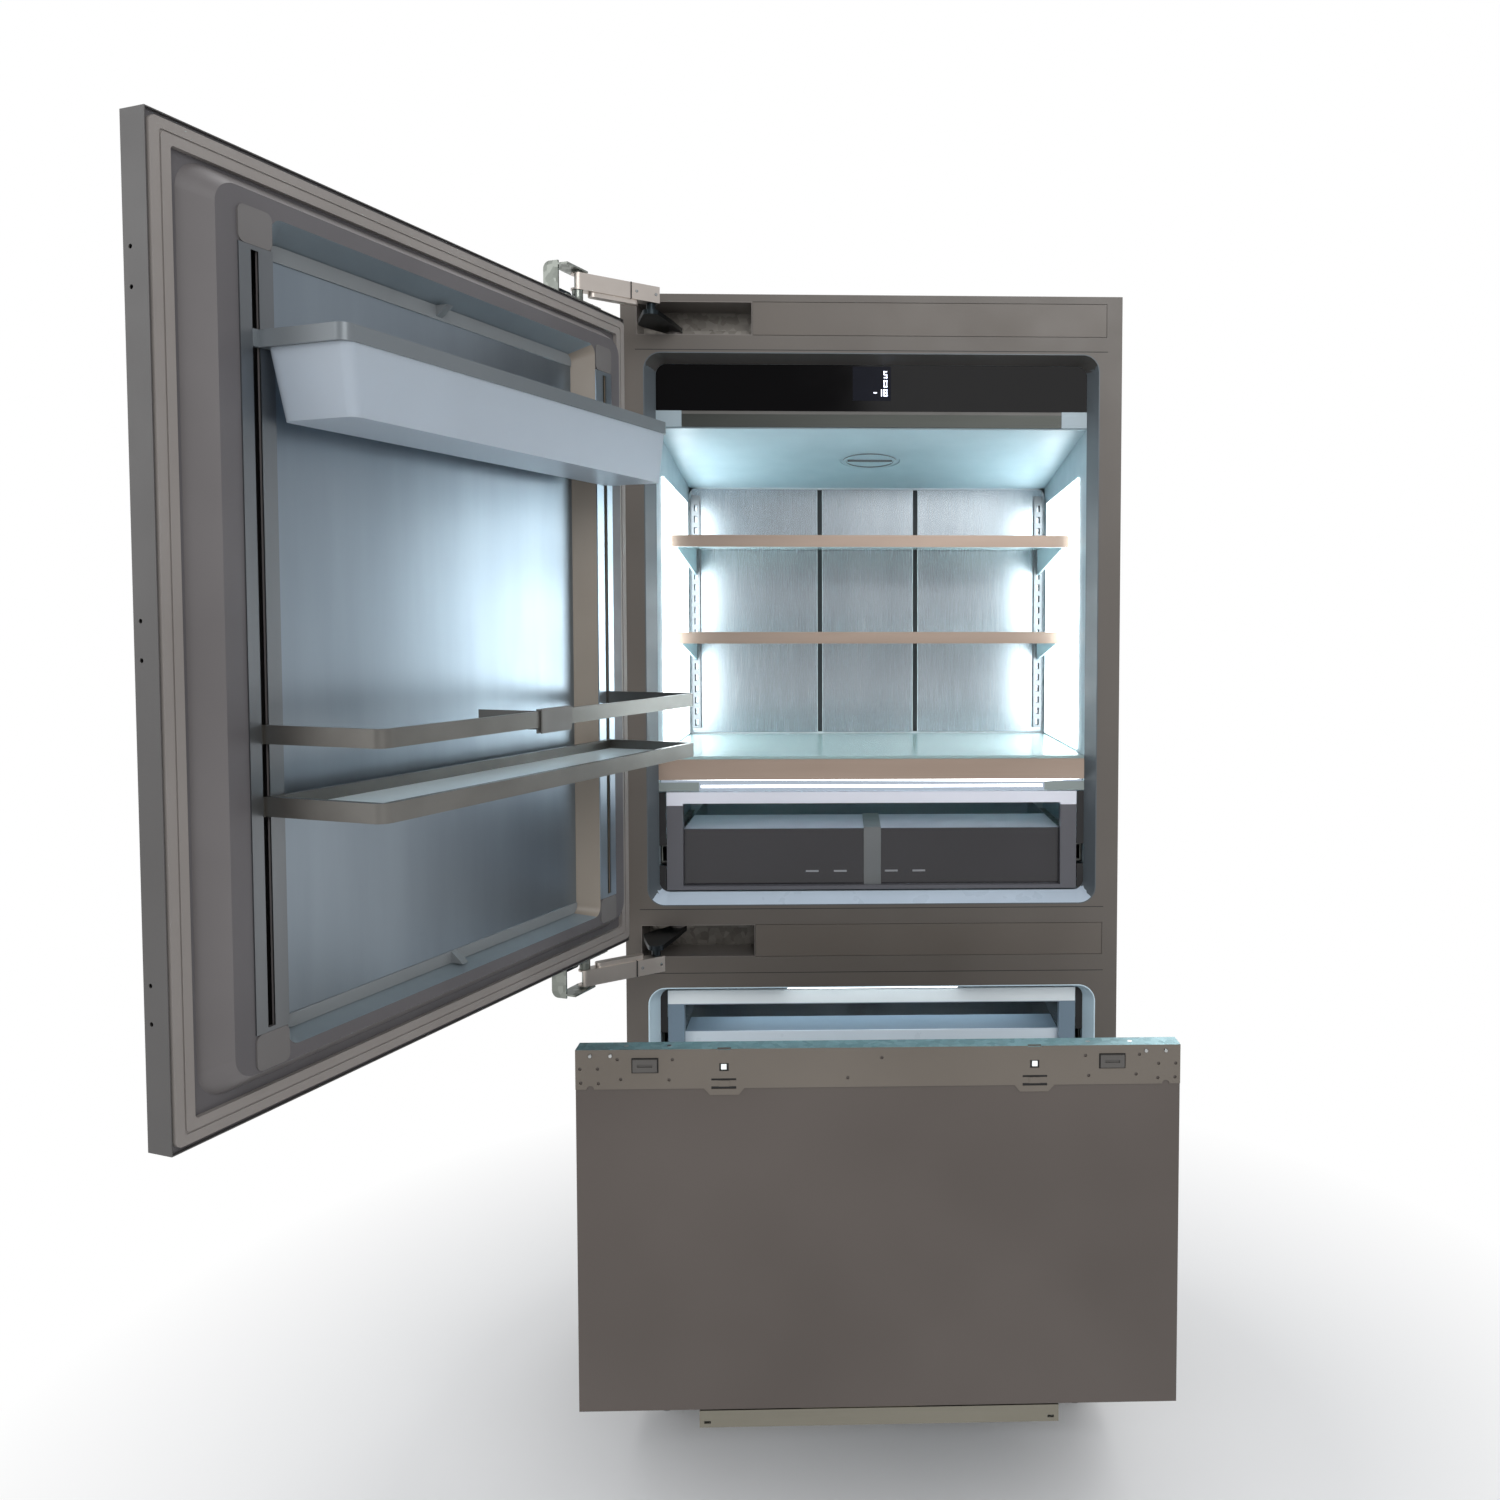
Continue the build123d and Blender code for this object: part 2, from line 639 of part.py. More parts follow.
def front_trims():
    """Brushed strip under the fascia with its end blocks, full shelf edge and lamp bar caps."""
    y = (FASCIA_Y, FASCIA_Y + STRIP_T)
    strip_end = ROOM_HALF - STRIP_END
    strip = block(both_ways(strip_end), y, (STRIP_Z, STRIP_Z + STRIP_H))
    block_end = block((strip_end + FIT, ROOM_HALF), y, (STRIP_Z, FASCIA_Z))
    shelf = block(both_ways(ROOM_HALF), (FASCIA_Y, FASCIA_Y + TRIM_D), (TRIM_FOOT_Z, FULL_SHELF_Z))
    foot = TRIM_FOOT_Z - BAR_LAMP_H
    cap = block((ROOM_HALF - BAR_CAP[0], ROOM_HALF), (FASCIA_Y, FASCIA_Y + BAR_LAMP_T),
                (foot, foot + BAR_CAP[1]))
    return [strip] + pair(block_end) + [shelf] + pair(cap)


def ceiling_plane():
    """Plane on the sloping ceiling, looking down into the compartment."""
    dy = CEILING_BACK[0] - CEILING_FRONT[0]
    dz = CEILING_BACK[1] - CEILING_FRONT[1]
    z = CEILING_FRONT[1] + dz * (FILTER_Y - CEILING_FRONT[0]) / dy
    return Plane(origin=(0, FILTER_Y, z), x_dir=(1, 0, 0), z_dir=(0, dz, -dy))


def ceiling_cover():
    """Sloping ceiling over the air duct, with a round well for the air filter."""
    y0, z0 = CEILING_FRONT
    y1, z1 = CEILING_BACK
    t = CEILING_T
    profile = [(y0, z0), (y1, z1), (y1, z1 + t), (y0 + t, z0 + t), (y0, z0 + t)]
    cover = across(profile, both_ways(ROOM_HALF))
    plane = ceiling_plane()
    well_r = FILTER_R + WELL_GAP
    well = plane * Pos(0, 0, -WELL_D / 2) * Cylinder(well_r + WELL_WALL, WELL_D)
    bore = plane * Pos(0, 0, CEILING_T - WELL_D / 2) * Cylinder(well_r, WELL_D)
    return cover + well - bore


def filter_cover():
    """Round filter lid with a raised ring and a grip bar, turned to release it."""
    plane = ceiling_plane()
    lid = plane * Pos(0, 0, -LID_T / 2 - OVER) * Cylinder(FILTER_R, LID_T)
    ring = plane * Pos(0, 0, 0) * (Cylinder(LID_RING[0], LID_RING_T) - Cylinder(LID_RING[1], LID_RING_T))
    grip = plane * Pos(0, 0, OVER) * Box(*LID_GRIP)
    return lid + ring + grip


def led_lamps():
    """Side light panels, the bar under the full shelf and the line under the fascia."""
    y = (FASCIA_Y + SIDE_LAMP_Y[0], DUCT_Y - SIDE_LAMP_Y[1])
    foot = FULL_SHELF_Z + SIDE_LAMP_RISE
    top = [CEILING_BACK[1] - drop for drop in SIDE_LAMP_DROP]
    profile = [(y[0], foot), (y[1], foot), (y[1] - SIDE_LAMP_LEAN, top[1]), (y[0], top[0])]
    side = across(profile, (ROOM_HALF - SIDE_LAMP_T, ROOM_HALF))
    bar_y = (FASCIA_Y + OVER, FASCIA_Y + OVER + BAR_LAMP_T)
    foot_z = TRIM_FOOT_Z - BAR_LAMP_H
    step_z = foot_z + BAR_CAP[1] + FIT
    bar = block(both_ways(ROOM_HALF - BAR_LAMP_IN), bar_y, (step_z, TRIM_FOOT_Z))
    bar += block(both_ways(ROOM_HALF - BAR_CAP[0] - FIT), bar_y, (foot_z, step_z))
    line = block(both_ways(ROOM_HALF - STRIP_END), (FASCIA_Y + OVER, FASCIA_Y + OVER + LINE_T),
                 (STRIP_Z + STRIP_H, FASCIA_Z))
    return pair(side) + [bar, line]


def duct_covers():
    """Back walls of both compartments, in front of the coolers, with the freezer fan's motor."""
    full = both_ways(ROOM_HALF)
    fridge = slab(outline(full, (FRIDGE_ROOM[0], CEILING_BACK[1]), ROOM_R), DUCT_Y, DUCT_Y + DUCT_T)
    slot_z = FULL_SHELF_Z - DUCT_SLOT_DROP
    for x in spaced(DUCT_SLOTS, DUCT_SLOT_PITCH):
        fridge -= block(grown((x, x), DUCT_SLOT[0] / 2), grown((DUCT_Y, DUCT_Y + DUCT_T), OVER),
                        (slot_z, slot_z + DUCT_SLOT[1]))
    y = (FREEZER_DUCT, FREEZER_DUCT + DUCT_T)
    z = FREEZER_FAN_Z
    freezer = slab(outline(full, FREEZER_ROOM, ROOM_R), *y)
    freezer -= along_y(0, grown(y, OVER), z, FREEZER_FAN_PORT) - along_y(0, grown(y, OVER), z, MOTOR_R)
    for turn in (0, 90):
        bar = Box(2 * FREEZER_FAN_PORT + 2 * GUARD_BAR, DUCT_T, GUARD_BAR)
        freezer += Pos(0, sum(y) / 2, z) * Rot(0, turn, 0) * bar
    motor = along_y(0, (y[1], y[1] + MOTOR_T), z, MOTOR_R)
    shaft = along_y(0, (y[1], FREEZER_FAN_Y + FAN_DEPTH / 2 + OVER), z, SHAFT_R)
    return [fridge, freezer + motor + shaft]


def back_wall_panels():
    """Three steel panels on the back wall, with narrow grooves between them."""
    z = (FULL_SHELF_Z + PANEL_RISE, CEILING_BACK[1] - PANEL_DROP)
    side = (PANEL_MIDDLE + PANEL_GROOVE, ROOM_HALF - PANEL_END_IN)
    spans = [both_ways(PANEL_MIDDLE), side, (-side[1], -side[0])]
    return [block(span, (DUCT_Y - PANEL_T, DUCT_Y), z) for span in spans]


def slot_heights():
    """Middle heights of the slots in the shelf rails."""
    count = int((WALL_RAIL_Z[1] - WALL_RAIL_Z[0]) / SLOT_PITCH)
    return [WALL_RAIL_Z[0] + (i + 0.5) * SLOT_PITCH for i in range(count)]


def shelf_rails():
    """Slotted uprights that the glass shelves hook into."""
    face, back = WALL_RAIL_Y
    rail = block(WALL_RAIL_X, WALL_RAIL_Y, WALL_RAIL_Z)
    rail -= block(grown(WALL_RAIL_X, -RAIL_STEEL), (face + RAIL_STEEL, back + OVER), grown(WALL_RAIL_Z, OVER))
    middle = sum(WALL_RAIL_X) / 2
    for z in slot_heights():
        rail -= block(grown((middle, middle), WALL_SLOT[0] / 2), (face - OVER, face + RAIL_STEEL + OVER),
                      grown((z, z), WALL_SLOT[1] / 2))
    return pair(rail)


def shelf_frame(front, trim_z):
    """Front edge and two hooked brackets of a cantilevered glass shelf."""
    top = trim_z + SHELF_TRIM_H - SHELF_TRIM_LIP - SHELF_GLASS_T
    back = front + SHELF_TRIM_D
    frame = block(both_ways(SHELF_HALF), (front, back), (trim_z, trim_z + SHELF_TRIM_H))
    middle = sum(WALL_RAIL_X) / 2
    face = WALL_RAIL_Y[0]
    web = grown((middle, middle), SHELF_BRACKET_T / 2)
    tip, root = top - SHELF_BRACKET_H[0], top - SHELF_BRACKET_H[1]
    profile = [(back, top), (back, tip), (face - FIT, root), (face - FIT, top)]
    bracket = across(profile, web)
    for z in slot_heights():
        if top - SHELF_BRACKET_H[1] + LUG_H / 2 < z < top - LUG_H / 2:
            bracket += block(web, (face - 2 * FIT, face + RAIL_STEEL + 2 * OVER), grown((z, z), LUG_H / 2))
    for side in pair(bracket):
        frame += side
    return frame


def shelf_glass(front, trim_z):
    """Glass plate behind the front edge, on the brackets."""
    top = trim_z + SHELF_TRIM_H - SHELF_TRIM_LIP
    y = (front + SHELF_TRIM_D, WALL_RAIL_Y[0] - SHELF_BACK_GAP)
    return block(both_ways(SHELF_HALF - 2 * OVER), y, (top - SHELF_GLASS_T, top))


def full_shelf_glass():
    """Glass plate over the drawer, from side to side."""
    return block(both_ways(ROOM_HALF - FIT), (FASCIA_Y + 2 * OVER, DUCT_Y - PANEL_T - FIT),
                 (FULL_SHELF_Z, FULL_SHELF_Z + FULL_GLASS_T))


# Runners and drawers

def channel(web, reach, half_height, y, z):
    """C-section member on the right-hand side; web and reach are distances from the wall."""
    x_web = ROOM_HALF - web
    x_tip = ROOM_HALF - reach
    outer = block((min(x_web, x_tip), max(x_web, x_tip)), y, grown((z, z), half_height))
    step = RUNNER_T if reach > web else -RUNNER_T
    inner_x = sorted((x_web - step, x_tip - math.copysign(OVER, step)))
    return outer - block(inner_x, grown(y, OVER), grown((z, z), half_height - RUNNER_T))


def fixed_runner(y, z):
    """Cabinet member, on the liner's wall."""
    return pair(channel(0, RUNNER_W - RUNNER_GAP, RUNNER_H / 2, y, z))


def middle_runner(y, z):
    """Middle member, nested in the cabinet member."""
    step = RUNNER_T + RUNNER_GAP
    return pair(channel(step, RUNNER_W - RUNNER_T, RUNNER_H / 2 - step, y, z))


def drawer_runner(y, z):
    """Drawer member, facing the other way inside the middle one."""
    step = 2 * (RUNNER_T + RUNNER_GAP)
    return pair(channel(RUNNER_W, step, RUNNER_H / 2 - step, y, z))


def drawer_frame(z, bar):
    """Front frame of a drawer: its top bar is the grip, over a lower pane."""
    frame = block(both_ways(DRAWER_HALF), DRAWER_Y, z)
    inside = both_ways(DRAWER_HALF - DRAWER_STILE)
    return frame - block(inside, grown(DRAWER_Y, OVER), (z[0] + DRAWER_SILL, z[1] - bar))


def drawer_pane(z, plate_z):
    """Pane of a drawer front, from the sill up to the plate behind it."""
    y1 = DRAWER_Y[1] - PANE_BACK
    height = (z[0] + DRAWER_SILL, plate_z + PLATE_T)
    return block(both_ways(DRAWER_HALF - DRAWER_STILE), (y1 - PANE_T, y1), height)


def drawer_plate(z, depth):
    """Level plate behind the top edge of a drawer's pane."""
    return block(both_ways(BIN_HALF - PLATE_SIDE_GAP), (DRAWER_Y[1], DRAWER_Y[1] + depth), (z, z + PLATE_T))


def pane_clip():
    """Folded strip down the middle of the pane and back over the plate."""
    x = both_ways(CLIP_W / 2)
    front = DRAWER_Y[1] - PANE_BACK - PANE_T - CLIP_T
    top = FRESH_PLATE_Z + PLATE_T
    strip = block(x, (front, front + CLIP_T), (FRESH_Z[0] + DRAWER_SILL, top + CLIP_T))
    return strip + block(x, (front, DRAWER_Y[1] + FRESH_PLATE_D), (top, top + CLIP_T))


def drawer_bin(z, runner_z):
    """Open tray behind the front frame, hung between the runners."""
    y = (DRAWER_Y[1], BIN_BACK)
    inside = both_ways(BIN_HALF - BIN_T)
    tray = block(both_ways(BIN_HALF), y, z)
    tray -= block(inside, grown(y, -BIN_T), (z[0] + BIN_T, z[1] + OVER))
    tray -= block(inside, (y[0] - OVER, y[0] + BIN_T + OVER), (z[0] + BIN_FRONT_H, z[1] + OVER))
    side = ROOM_HALF - RUNNER_W
    arm = block((BIN_HALF - OVER, side), y, (runner_z + WING_H - WING_T, runner_z + WING_H))
    arm += block((side - PAN_T, side), y, grown((runner_z, runner_z), WING_H))
    for wing in pair(arm):
        tray += wing
    return tray


# Freezer front, built closed and then moved out

def freezer_front_panel():
    """Folded steel pan of the freezer front, open at the back, with a ledge for its liner."""
    y = (FRONT_FACE, FRONT_FACE + FRONT_D)
    inner = both_ways(FRONT_HALF - SHEET)
    inner_z = grown(FRONT_Z, -SHEET)
    pan = block(both_ways(FRONT_HALF), y, FRONT_Z) - block(inner, (y[0] + SHEET, y[1] + OVER), inner_z)
    ledge = block(inner, (y[1] - LEDGE_IN - SHEET, y[1] - LEDGE_IN), inner_z)
    return pan + (ledge - block(grown(inner, -FRONT_LEDGE_W), y, grown(inner_z, -FRONT_LEDGE_W)))


def freezer_front_liner():
    """Moulded inner side of the freezer front, with a plug that enters the opening."""
    base_y = FRONT_FACE + FRONT_D - LEDGE_IN
    top_y = base_y + LINER_T
    side = SHEET + FIT
    plate = block(both_ways(FRONT_HALF - side), (base_y, top_y), grown(FRONT_Z, -side))

    def plug(step, y0, y1):
        ends = []
        for side, end, radius, y in zip(PLUG_IN, PLUG_END_IN, PLUG_R, (y0, y1)):
            z = grown(FREEZER_MOUTH, -end - step)
            ends.append(at_y(outline(both_ways(MOUTH_HALF - side - step), z, radius - step), y))
        return loft(ends)
    return plate + plug(0, top_y, PLUG_Y) - plug(LINER_SKIN, base_y, PLUG_Y - LINER_SKIN)


def gasket(x, z, y0, y1):
    """Magnetic seal: a rounded rectangular ring with a groove round its face."""
    inner_r = GASKET_R / 2
    ring = outline(x, z, GASKET_R) - outline(grown(x, -GASKET_W), grown(z, -GASKET_W), inner_r)
    width, depth = GASKET_GROOVE
    rim = (GASKET_W - width) / 2
    far = rim + width
    groove = outline(grown(x, -rim), grown(z, -rim), inner_r)
    groove -= outline(grown(x, -far), grown(z, -far), inner_r)
    return slab(ring, y0, y1) - slab(groove, y1 - depth, y1 + OVER)


def plate_window(spans):
    """Cut through the fixing plate: distances from the middle, then down from the top edge."""
    x0, x1, top, foot = spans
    y = (FRONT_FACE - PLATE_THICK, FRONT_FACE)
    return block((x0, x1), grown(y, OVER), (FRONT_Z[1] - foot, FRONT_Z[1] - top))


def freezer_top_bracket():
    """Fixing plate for the decor panel: hook slots, tabs and screw holes, folded over the top."""
    top = FRONT_Z[1]
    y = (FRONT_FACE - PLATE_THICK, FRONT_FACE)
    plate = block(both_ways(FRONT_HALF), y, (top - PLATE_H, top))
    flange = block(both_ways(FRONT_HALF), (y[0], y[1] + FLANGE_D), (top, top + FLANGE_T))
    notch = block(FLANGE_NOTCH, (y[0] - OVER, y[0] + FLANGE_NOTCH_D), (top, top + FLANGE_T + OVER))
    tab = Polygon((TAB_TOP[0], top - PLATE_H), (TAB_FOOT[0], top - PLATE_H - TAB_H),
                  (TAB_FOOT[1], top - PLATE_H - TAB_H), (TAB_TOP[1], top - PLATE_H), align=None)
    for piece in pair(slab(tab, *y)) + [flange]:
        plate += piece
    cuts = pair(notch)
    for window in (SQUARE_HOLE, UPPER_SLOT, LOWER_SLOT, ADJUSTER_WINDOW):
        cuts += pair(plate_window(window))
    cuts += pair(along_y(NOTCH_X, grown(y, OVER), top - PLATE_H, NOTCH_R))
    for x, drop in PLATE_HOLE_PAIRS:
        cuts += pair(along_y(x, grown(y, OVER), top - drop, PLATE_HOLE_R))
    for x, drop in PLATE_HOLES:
        cuts.append(along_y(x, grown(y, OVER), top - drop, PLATE_HOLE_R))
    for cut in cuts:
        plate -= cut
    bridge = block(BRIDGE[:2], (y[0] - BRIDGE_T, y[0]), (top - BRIDGE[3], top - BRIDGE[2]))
    for piece in pair(bridge):
        plate += piece
    return plate


def panel_adjusters():
    """Height adjusters of the decor panel in their windows, with a slot across each."""
    x0, x1, drop, foot = ADJUSTER_WINDOW
    top = FRONT_Z[1]
    y = (FRONT_FACE - ADJUSTER_T, FRONT_FACE)
    body = block(grown((x0, x1), -ADJUSTER_RIM), y, grown((top - foot, top - drop), -ADJUSTER_RIM))
    length, width, depth = ADJUSTER_SLOT
    x = (x0 + x1) / 2
    z = top - (drop + foot) / 2
    body -= block(grown((x, x), length / 2), (y[0] - OVER, y[0] + depth), grown((z, z), width / 2))
    return pair(body)


def freezer_lower_rail():
    """Channel under the freezer front that holds the decor panel's lower edge."""
    x = both_ways(LOWER_RAIL_HALF)
    z = (FRONT_Z[0] - LOWER_RAIL_DROP[1], FRONT_Z[0] - LOWER_RAIL_DROP[0])
    y = (FRONT_FACE, FRONT_FACE + LOWER_RAIL_D)
    rail = block(x, y, z) - block(grown(x, OVER), (y[0] + SHEET, y[1] + OVER), grown(z, -SHEET))
    rail += block(LOWER_RAIL_FOOT, (y[0] + 2 * SHEET, y[1]), (z[1] - SHEET, FRONT_Z[0]))
    x0, x1, low, high = LOWER_RAIL_SLOT
    for cut in pair(block((x0, x1), (y[0] - OVER, y[0] + SHEET + OVER), (z[0] + low, z[0] + high))):
        rail -= cut
    return rail


def freezer_basket():
    """Deep bin behind the freezer front, tapering to its floor, with wings for the runners."""
    half = ROOM_HALF - BASKET_SIDE_GAP
    y = (PLUG_Y, BIN_BACK)
    depth = y[1] - y[0]

    def tub(step, z0, z1):
        low = Pos(0, sum(y) / 2, z0) * RectangleRounded(
            2 * (half - BASKET_TAPER - step), depth - BASKET_TAPER - 2 * step, BASKET_R - step)
        high = Pos(0, sum(y) / 2, z1) * RectangleRounded(2 * (half - step), depth - 2 * step, BASKET_R - step)
        return loft([low, high])
    inside = tub(BASKET_WALL, BASKET_Z[0] + BASKET_WALL, BASKET_Z[1] + OVER)
    side = ROOM_HALF - RUNNER_W
    z = BASKET_RUNNER_Z
    wing = block((half - BASKET_WING_LAP, side), y, (z + WING_H, z + WING_H + WING_T))
    wing += block((side - PAN_T, side), y, grown((z, z), WING_H))
    basket = tub(0, *BASKET_Z)
    for piece in pair(wing):
        basket += piece
    return basket - inside


# Door, built in its own coordinates and then swung open:
# S runs from the hinge edge, N from the outer face inwards

def ring_cut(s, z, n, width):
    """Rectangular ring in the door's own coordinates."""
    return block(s, n, z) - block(grown(s, -width), grown(n, OVER), grown(z, -width))


def door_shell():
    """Folded steel pan of the door with an inner ledge, and fixing holes in its free edge."""
    inner = (SHEET, DOOR_W - SHEET)
    inner_z = grown(DOOR_Z, -SHEET)
    pan = block((0, DOOR_W), (0, DOOR_D), DOOR_Z) - block(inner, (SHEET, DOOR_D + OVER), inner_z)
    pan += ring_cut(inner, inner_z, (LEDGE_N - SHEET, LEDGE_N), LEDGE_W)
    for rise in EDGE_HOLE_PAIRS:
        for z in (DOOR_Z[0] + rise, DOOR_Z[0] + rise + EDGE_HOLE_STEP):
            pan -= along_x((DOOR_W - 2 * SHEET, DOOR_W + OVER), EDGE_HOLE_N, z, EDGE_HOLE_R)
    return pan


def recess(step, n0):
    """The tapering recess of the door liner, grown by a skin's thickness."""
    floor = outline(grown(FLOOR_S, step), grown(FLOOR_Z, step), RECESS_R[0] + step)
    mouth = outline(grown(RECESS_S, step), grown(RECESS_Z, step), RECESS_R[1] + step)
    return loft([at_y(floor, n0), at_y(mouth, DIKE_N)])


def dike(step, n0, n1):
    """The raised part of the door liner that enters the compartment."""
    foot = outline(grown(DIKE_S, DIKE_FLARE - step), grown(DIKE_Z, DIKE_FLARE_END - step), DIKE_R[0])
    head = outline(grown(DIKE_S, -step), grown(DIKE_Z, -step), DIKE_R[1])
    return loft([at_y(foot, n0), at_y(head, n1)])


def door_liner():
    """Inner liner: base plate, hollow dike and central recess in one thin moulding."""
    side = SHEET + FIT
    plate = block((side, DOOR_W - side), (LEDGE_N, LEDGE_N + LINER_T), grown(DOOR_Z, -side))
    wall = recess(LINER_SKIN, RECESS_N - LINER_SKIN)
    body = plate + dike(0, LEDGE_N + LINER_T, DIKE_N) + wall
    body = body - (dike(LINER_SKIN, LEDGE_N, DIKE_N - LINER_SKIN) - wall) - recess(0, RECESS_N)
    for s in SLOT_S:
        body -= block(grown((s, s), SLOT_W / 2), (DIKE_N - SLOT_D, DIKE_N + OVER), SLOT_Z)
    return body


def door_inner_panel():
    """Brushed panel on the floor of the recess, with end strips and their angled clips."""
    face = outline(grown(FLOOR_S, -FIT), grown(FLOOR_Z, -FIT), PANEL_R)
    top = RECESS_N + SHEET
    strips = slab(face, top, top + PANEL_STRIP_T)
    low, high = FLOOR_Z
    pieces = [slab(face, RECESS_N, top)]
    for z in ((low, low + PANEL_STRIPS[0]), (high - PANEL_STRIPS[1], high)):
        pieces.append(strips & block(FLOOR_S, (0, DIKE_N), z))
    face_n = top + PANEL_STRIP_T
    tip_n = face_n + PANEL_CLIP_OUT - PANEL_STRIP_T
    ends = ((low + FIT, PANEL_CLIP_H[0]), (high - FIT, -PANEL_CLIP_H[1]))
    for shift, (z, rise) in zip(PANEL_CLIP_SHIFT, ends):
        s = DOOR_W / 2 + shift
        profile = [(face_n, z), (tip_n, z), (face_n, z + rise * PANEL_CLIP_SLOPE)]
        pieces.append(across(profile, (s, s + PANEL_CLIP_W)))
    return pieces


def door_rails():
    """Slotted rails down both sides of the recess, with moulded corner pieces."""
    n = (DIKE_N, DIKE_N + RAIL_T)
    low, high = DOOR_RAIL_Z
    pieces = []
    for s0, middle in zip((RAIL_S[0], RAIL_S[1] - RAIL_W), SLOT_S):
        s = (s0, s0 + RAIL_W)
        z = (low + CORNER_H, high - CORNER_H)
        slot = block(grown((middle, middle), SLOT_W / 2), grown(n, OVER), grown(z, -RAIL_SLOT_END))
        pieces.append(block(s, n, z) - slot)
        for foot in (low, high - CORNER_H + FIT):
            pieces.append(slab(outline(s, (foot, foot + CORNER_H - FIT), CORNER_R), *n))
    return pieces


def hooks(z):
    """A pair of lugs as wide as the rail slots that they reach through."""
    n = (DIKE_N - HOOK_REACH, BIN_N[0] + OVER)
    return [block(grown((s, s), SLOT_W / 2), n, z) for s in SLOT_S]


def band(s, n, z, radius):
    """Block in door coordinates whose two corners away from the door are rounded."""
    body = block(s, n, z)
    return fillet(body.edges().filter_by(Axis.Z).group_by(Axis.Y)[-1], radius)


def door_bin():
    """Translucent bin of the top rack, tapering to its floor."""
    side, behind, ahead = BIN_INSET
    s, n = grown(BIN_S, -side), (BIN_N[0] + behind, BIN_N[1] - ahead)
    low_s = grown(s, -BIN_TAPER)
    low_n = (n[0] + BIN_TAPER * BIN_TAPER_SHARE[0], n[1] - BIN_TAPER * BIN_TAPER_SHARE[1])

    def tub(step, z0, z1):
        low = Pos(sum(low_s) / 2, sum(low_n) / 2, z0) * RectangleRounded(
            low_s[1] - low_s[0] - 2 * step, low_n[1] - low_n[0] - 2 * step, BIN_R)
        high = Pos(sum(s) / 2, sum(n) / 2, z1) * RectangleRounded(
            s[1] - s[0] - 2 * step, n[1] - n[0] - 2 * step, BIN_R)
        return loft([low, high])
    return tub(0, *BIN_Z) - tub(BIN_WALL, BIN_Z[0] + BIN_WALL, BIN_Z[1] + OVER)


def door_bin_rim():
    """Metal band round the top of the bin, with its hooks."""
    z = (BIN_Z[1], BIN_Z[1] + RIM_H)
    rim = band(BIN_S, BIN_N, z, RACK_R[0])
    rim -= band(grown(BIN_S, -RIM_T), grown(BIN_N, -RIM_T), grown(z, OVER), RIM_T)
    for hook in hooks(z):
        rim += hook
    return rim


def door_rack():
    """Lower rack: frame for a glass floor, and the guard rail above it."""
    z = (RACK_Z, RACK_Z + RACK_H)
    frame = band(RACK_S, RACK_N, z, RACK_R[0])
    frame -= block(grown(RACK_S, -RACK_LIP), grown(RACK_N, -RACK_LIP), (z[0] + RACK_SEAT, z[1] + OVER))
    frame -= block(grown(RACK_S, -2 * RACK_LIP), grown(RACK_N, -2 * RACK_LIP), grown(z, OVER))
    for hook in hooks(z):
        frame += hook
    z = (GUARD_Z, GUARD_Z + GUARD_H)
    guard = band(RACK_S, RACK_N, z, RACK_R[0])
    guard -= band(grown(RACK_S, -GUARD_T), (RACK_N[0] - OVER, RACK_N[1] - GUARD_T), grown(z, OVER), RACK_R[1])
    for hook in hooks(z):
        guard += hook
    return [frame, guard]


def rack_glass():
    """Glass floor of the lower rack."""
    edge = -RACK_LIP - FIT
    z = RACK_Z + RACK_SEAT
    return block(grown(RACK_S, edge), grown(RACK_N, edge), (z, z + RACK_SEAT))


def bottle_divider():
    """Clip that slides along the guard rail, with an arm that parts the bottles."""
    bar = (RACK_N[1] - GUARD_T, RACK_N[1])
    s = DIVIDER_S
    top = GUARD_Z + GUARD_H
    clip = block(s, grown(bar, DIVIDER_WALL), (GUARD_Z - DIVIDER_HANG, top + DIVIDER_WALL))
    clip -= block(grown(s, OVER), grown(bar, FIT), (GUARD_Z - DIVIDER_HANG - OVER, top + FIT))
    arm = block((s[1] - DIVIDER_PLATE_T, s[1]), (DIVIDER_PLATE_N, bar[0] - FIT),
                (GUARD_Z - DIVIDER_DROP, top))
    return clip + arm


# Hinges

DOOR_CLOSED = (-DOOR_W / 2, FRONT_FACE)
DOOR_PIVOT = (-HALF_W - PIVOT_OUT, FRONT_FACE - PIVOT_AHEAD)


def swung(piece):
    """A piece in the door's own coordinates, moved to the open door."""
    px, py = DOOR_PIVOT
    return Pos(px, py, 0) * Rot(0, 0, -DOOR_OPEN) * Pos(DOOR_CLOSED[0] - px, DOOR_CLOSED[1] - py, 0) * piece


def open_point(s, n):
    """Where a point of the door stands in the cabinet's X and Y when the door is open."""
    dx = DOOR_CLOSED[0] + s - DOOR_PIVOT[0]
    dy = DOOR_CLOSED[1] + n - DOOR_PIVOT[1]
    cos, sin = math.cos(math.radians(DOOR_OPEN)), math.sin(math.radians(DOOR_OPEN))
    return (DOOR_PIVOT[0] + dx * cos + dy * sin, DOOR_PIVOT[1] - dx * sin + dy * cos)


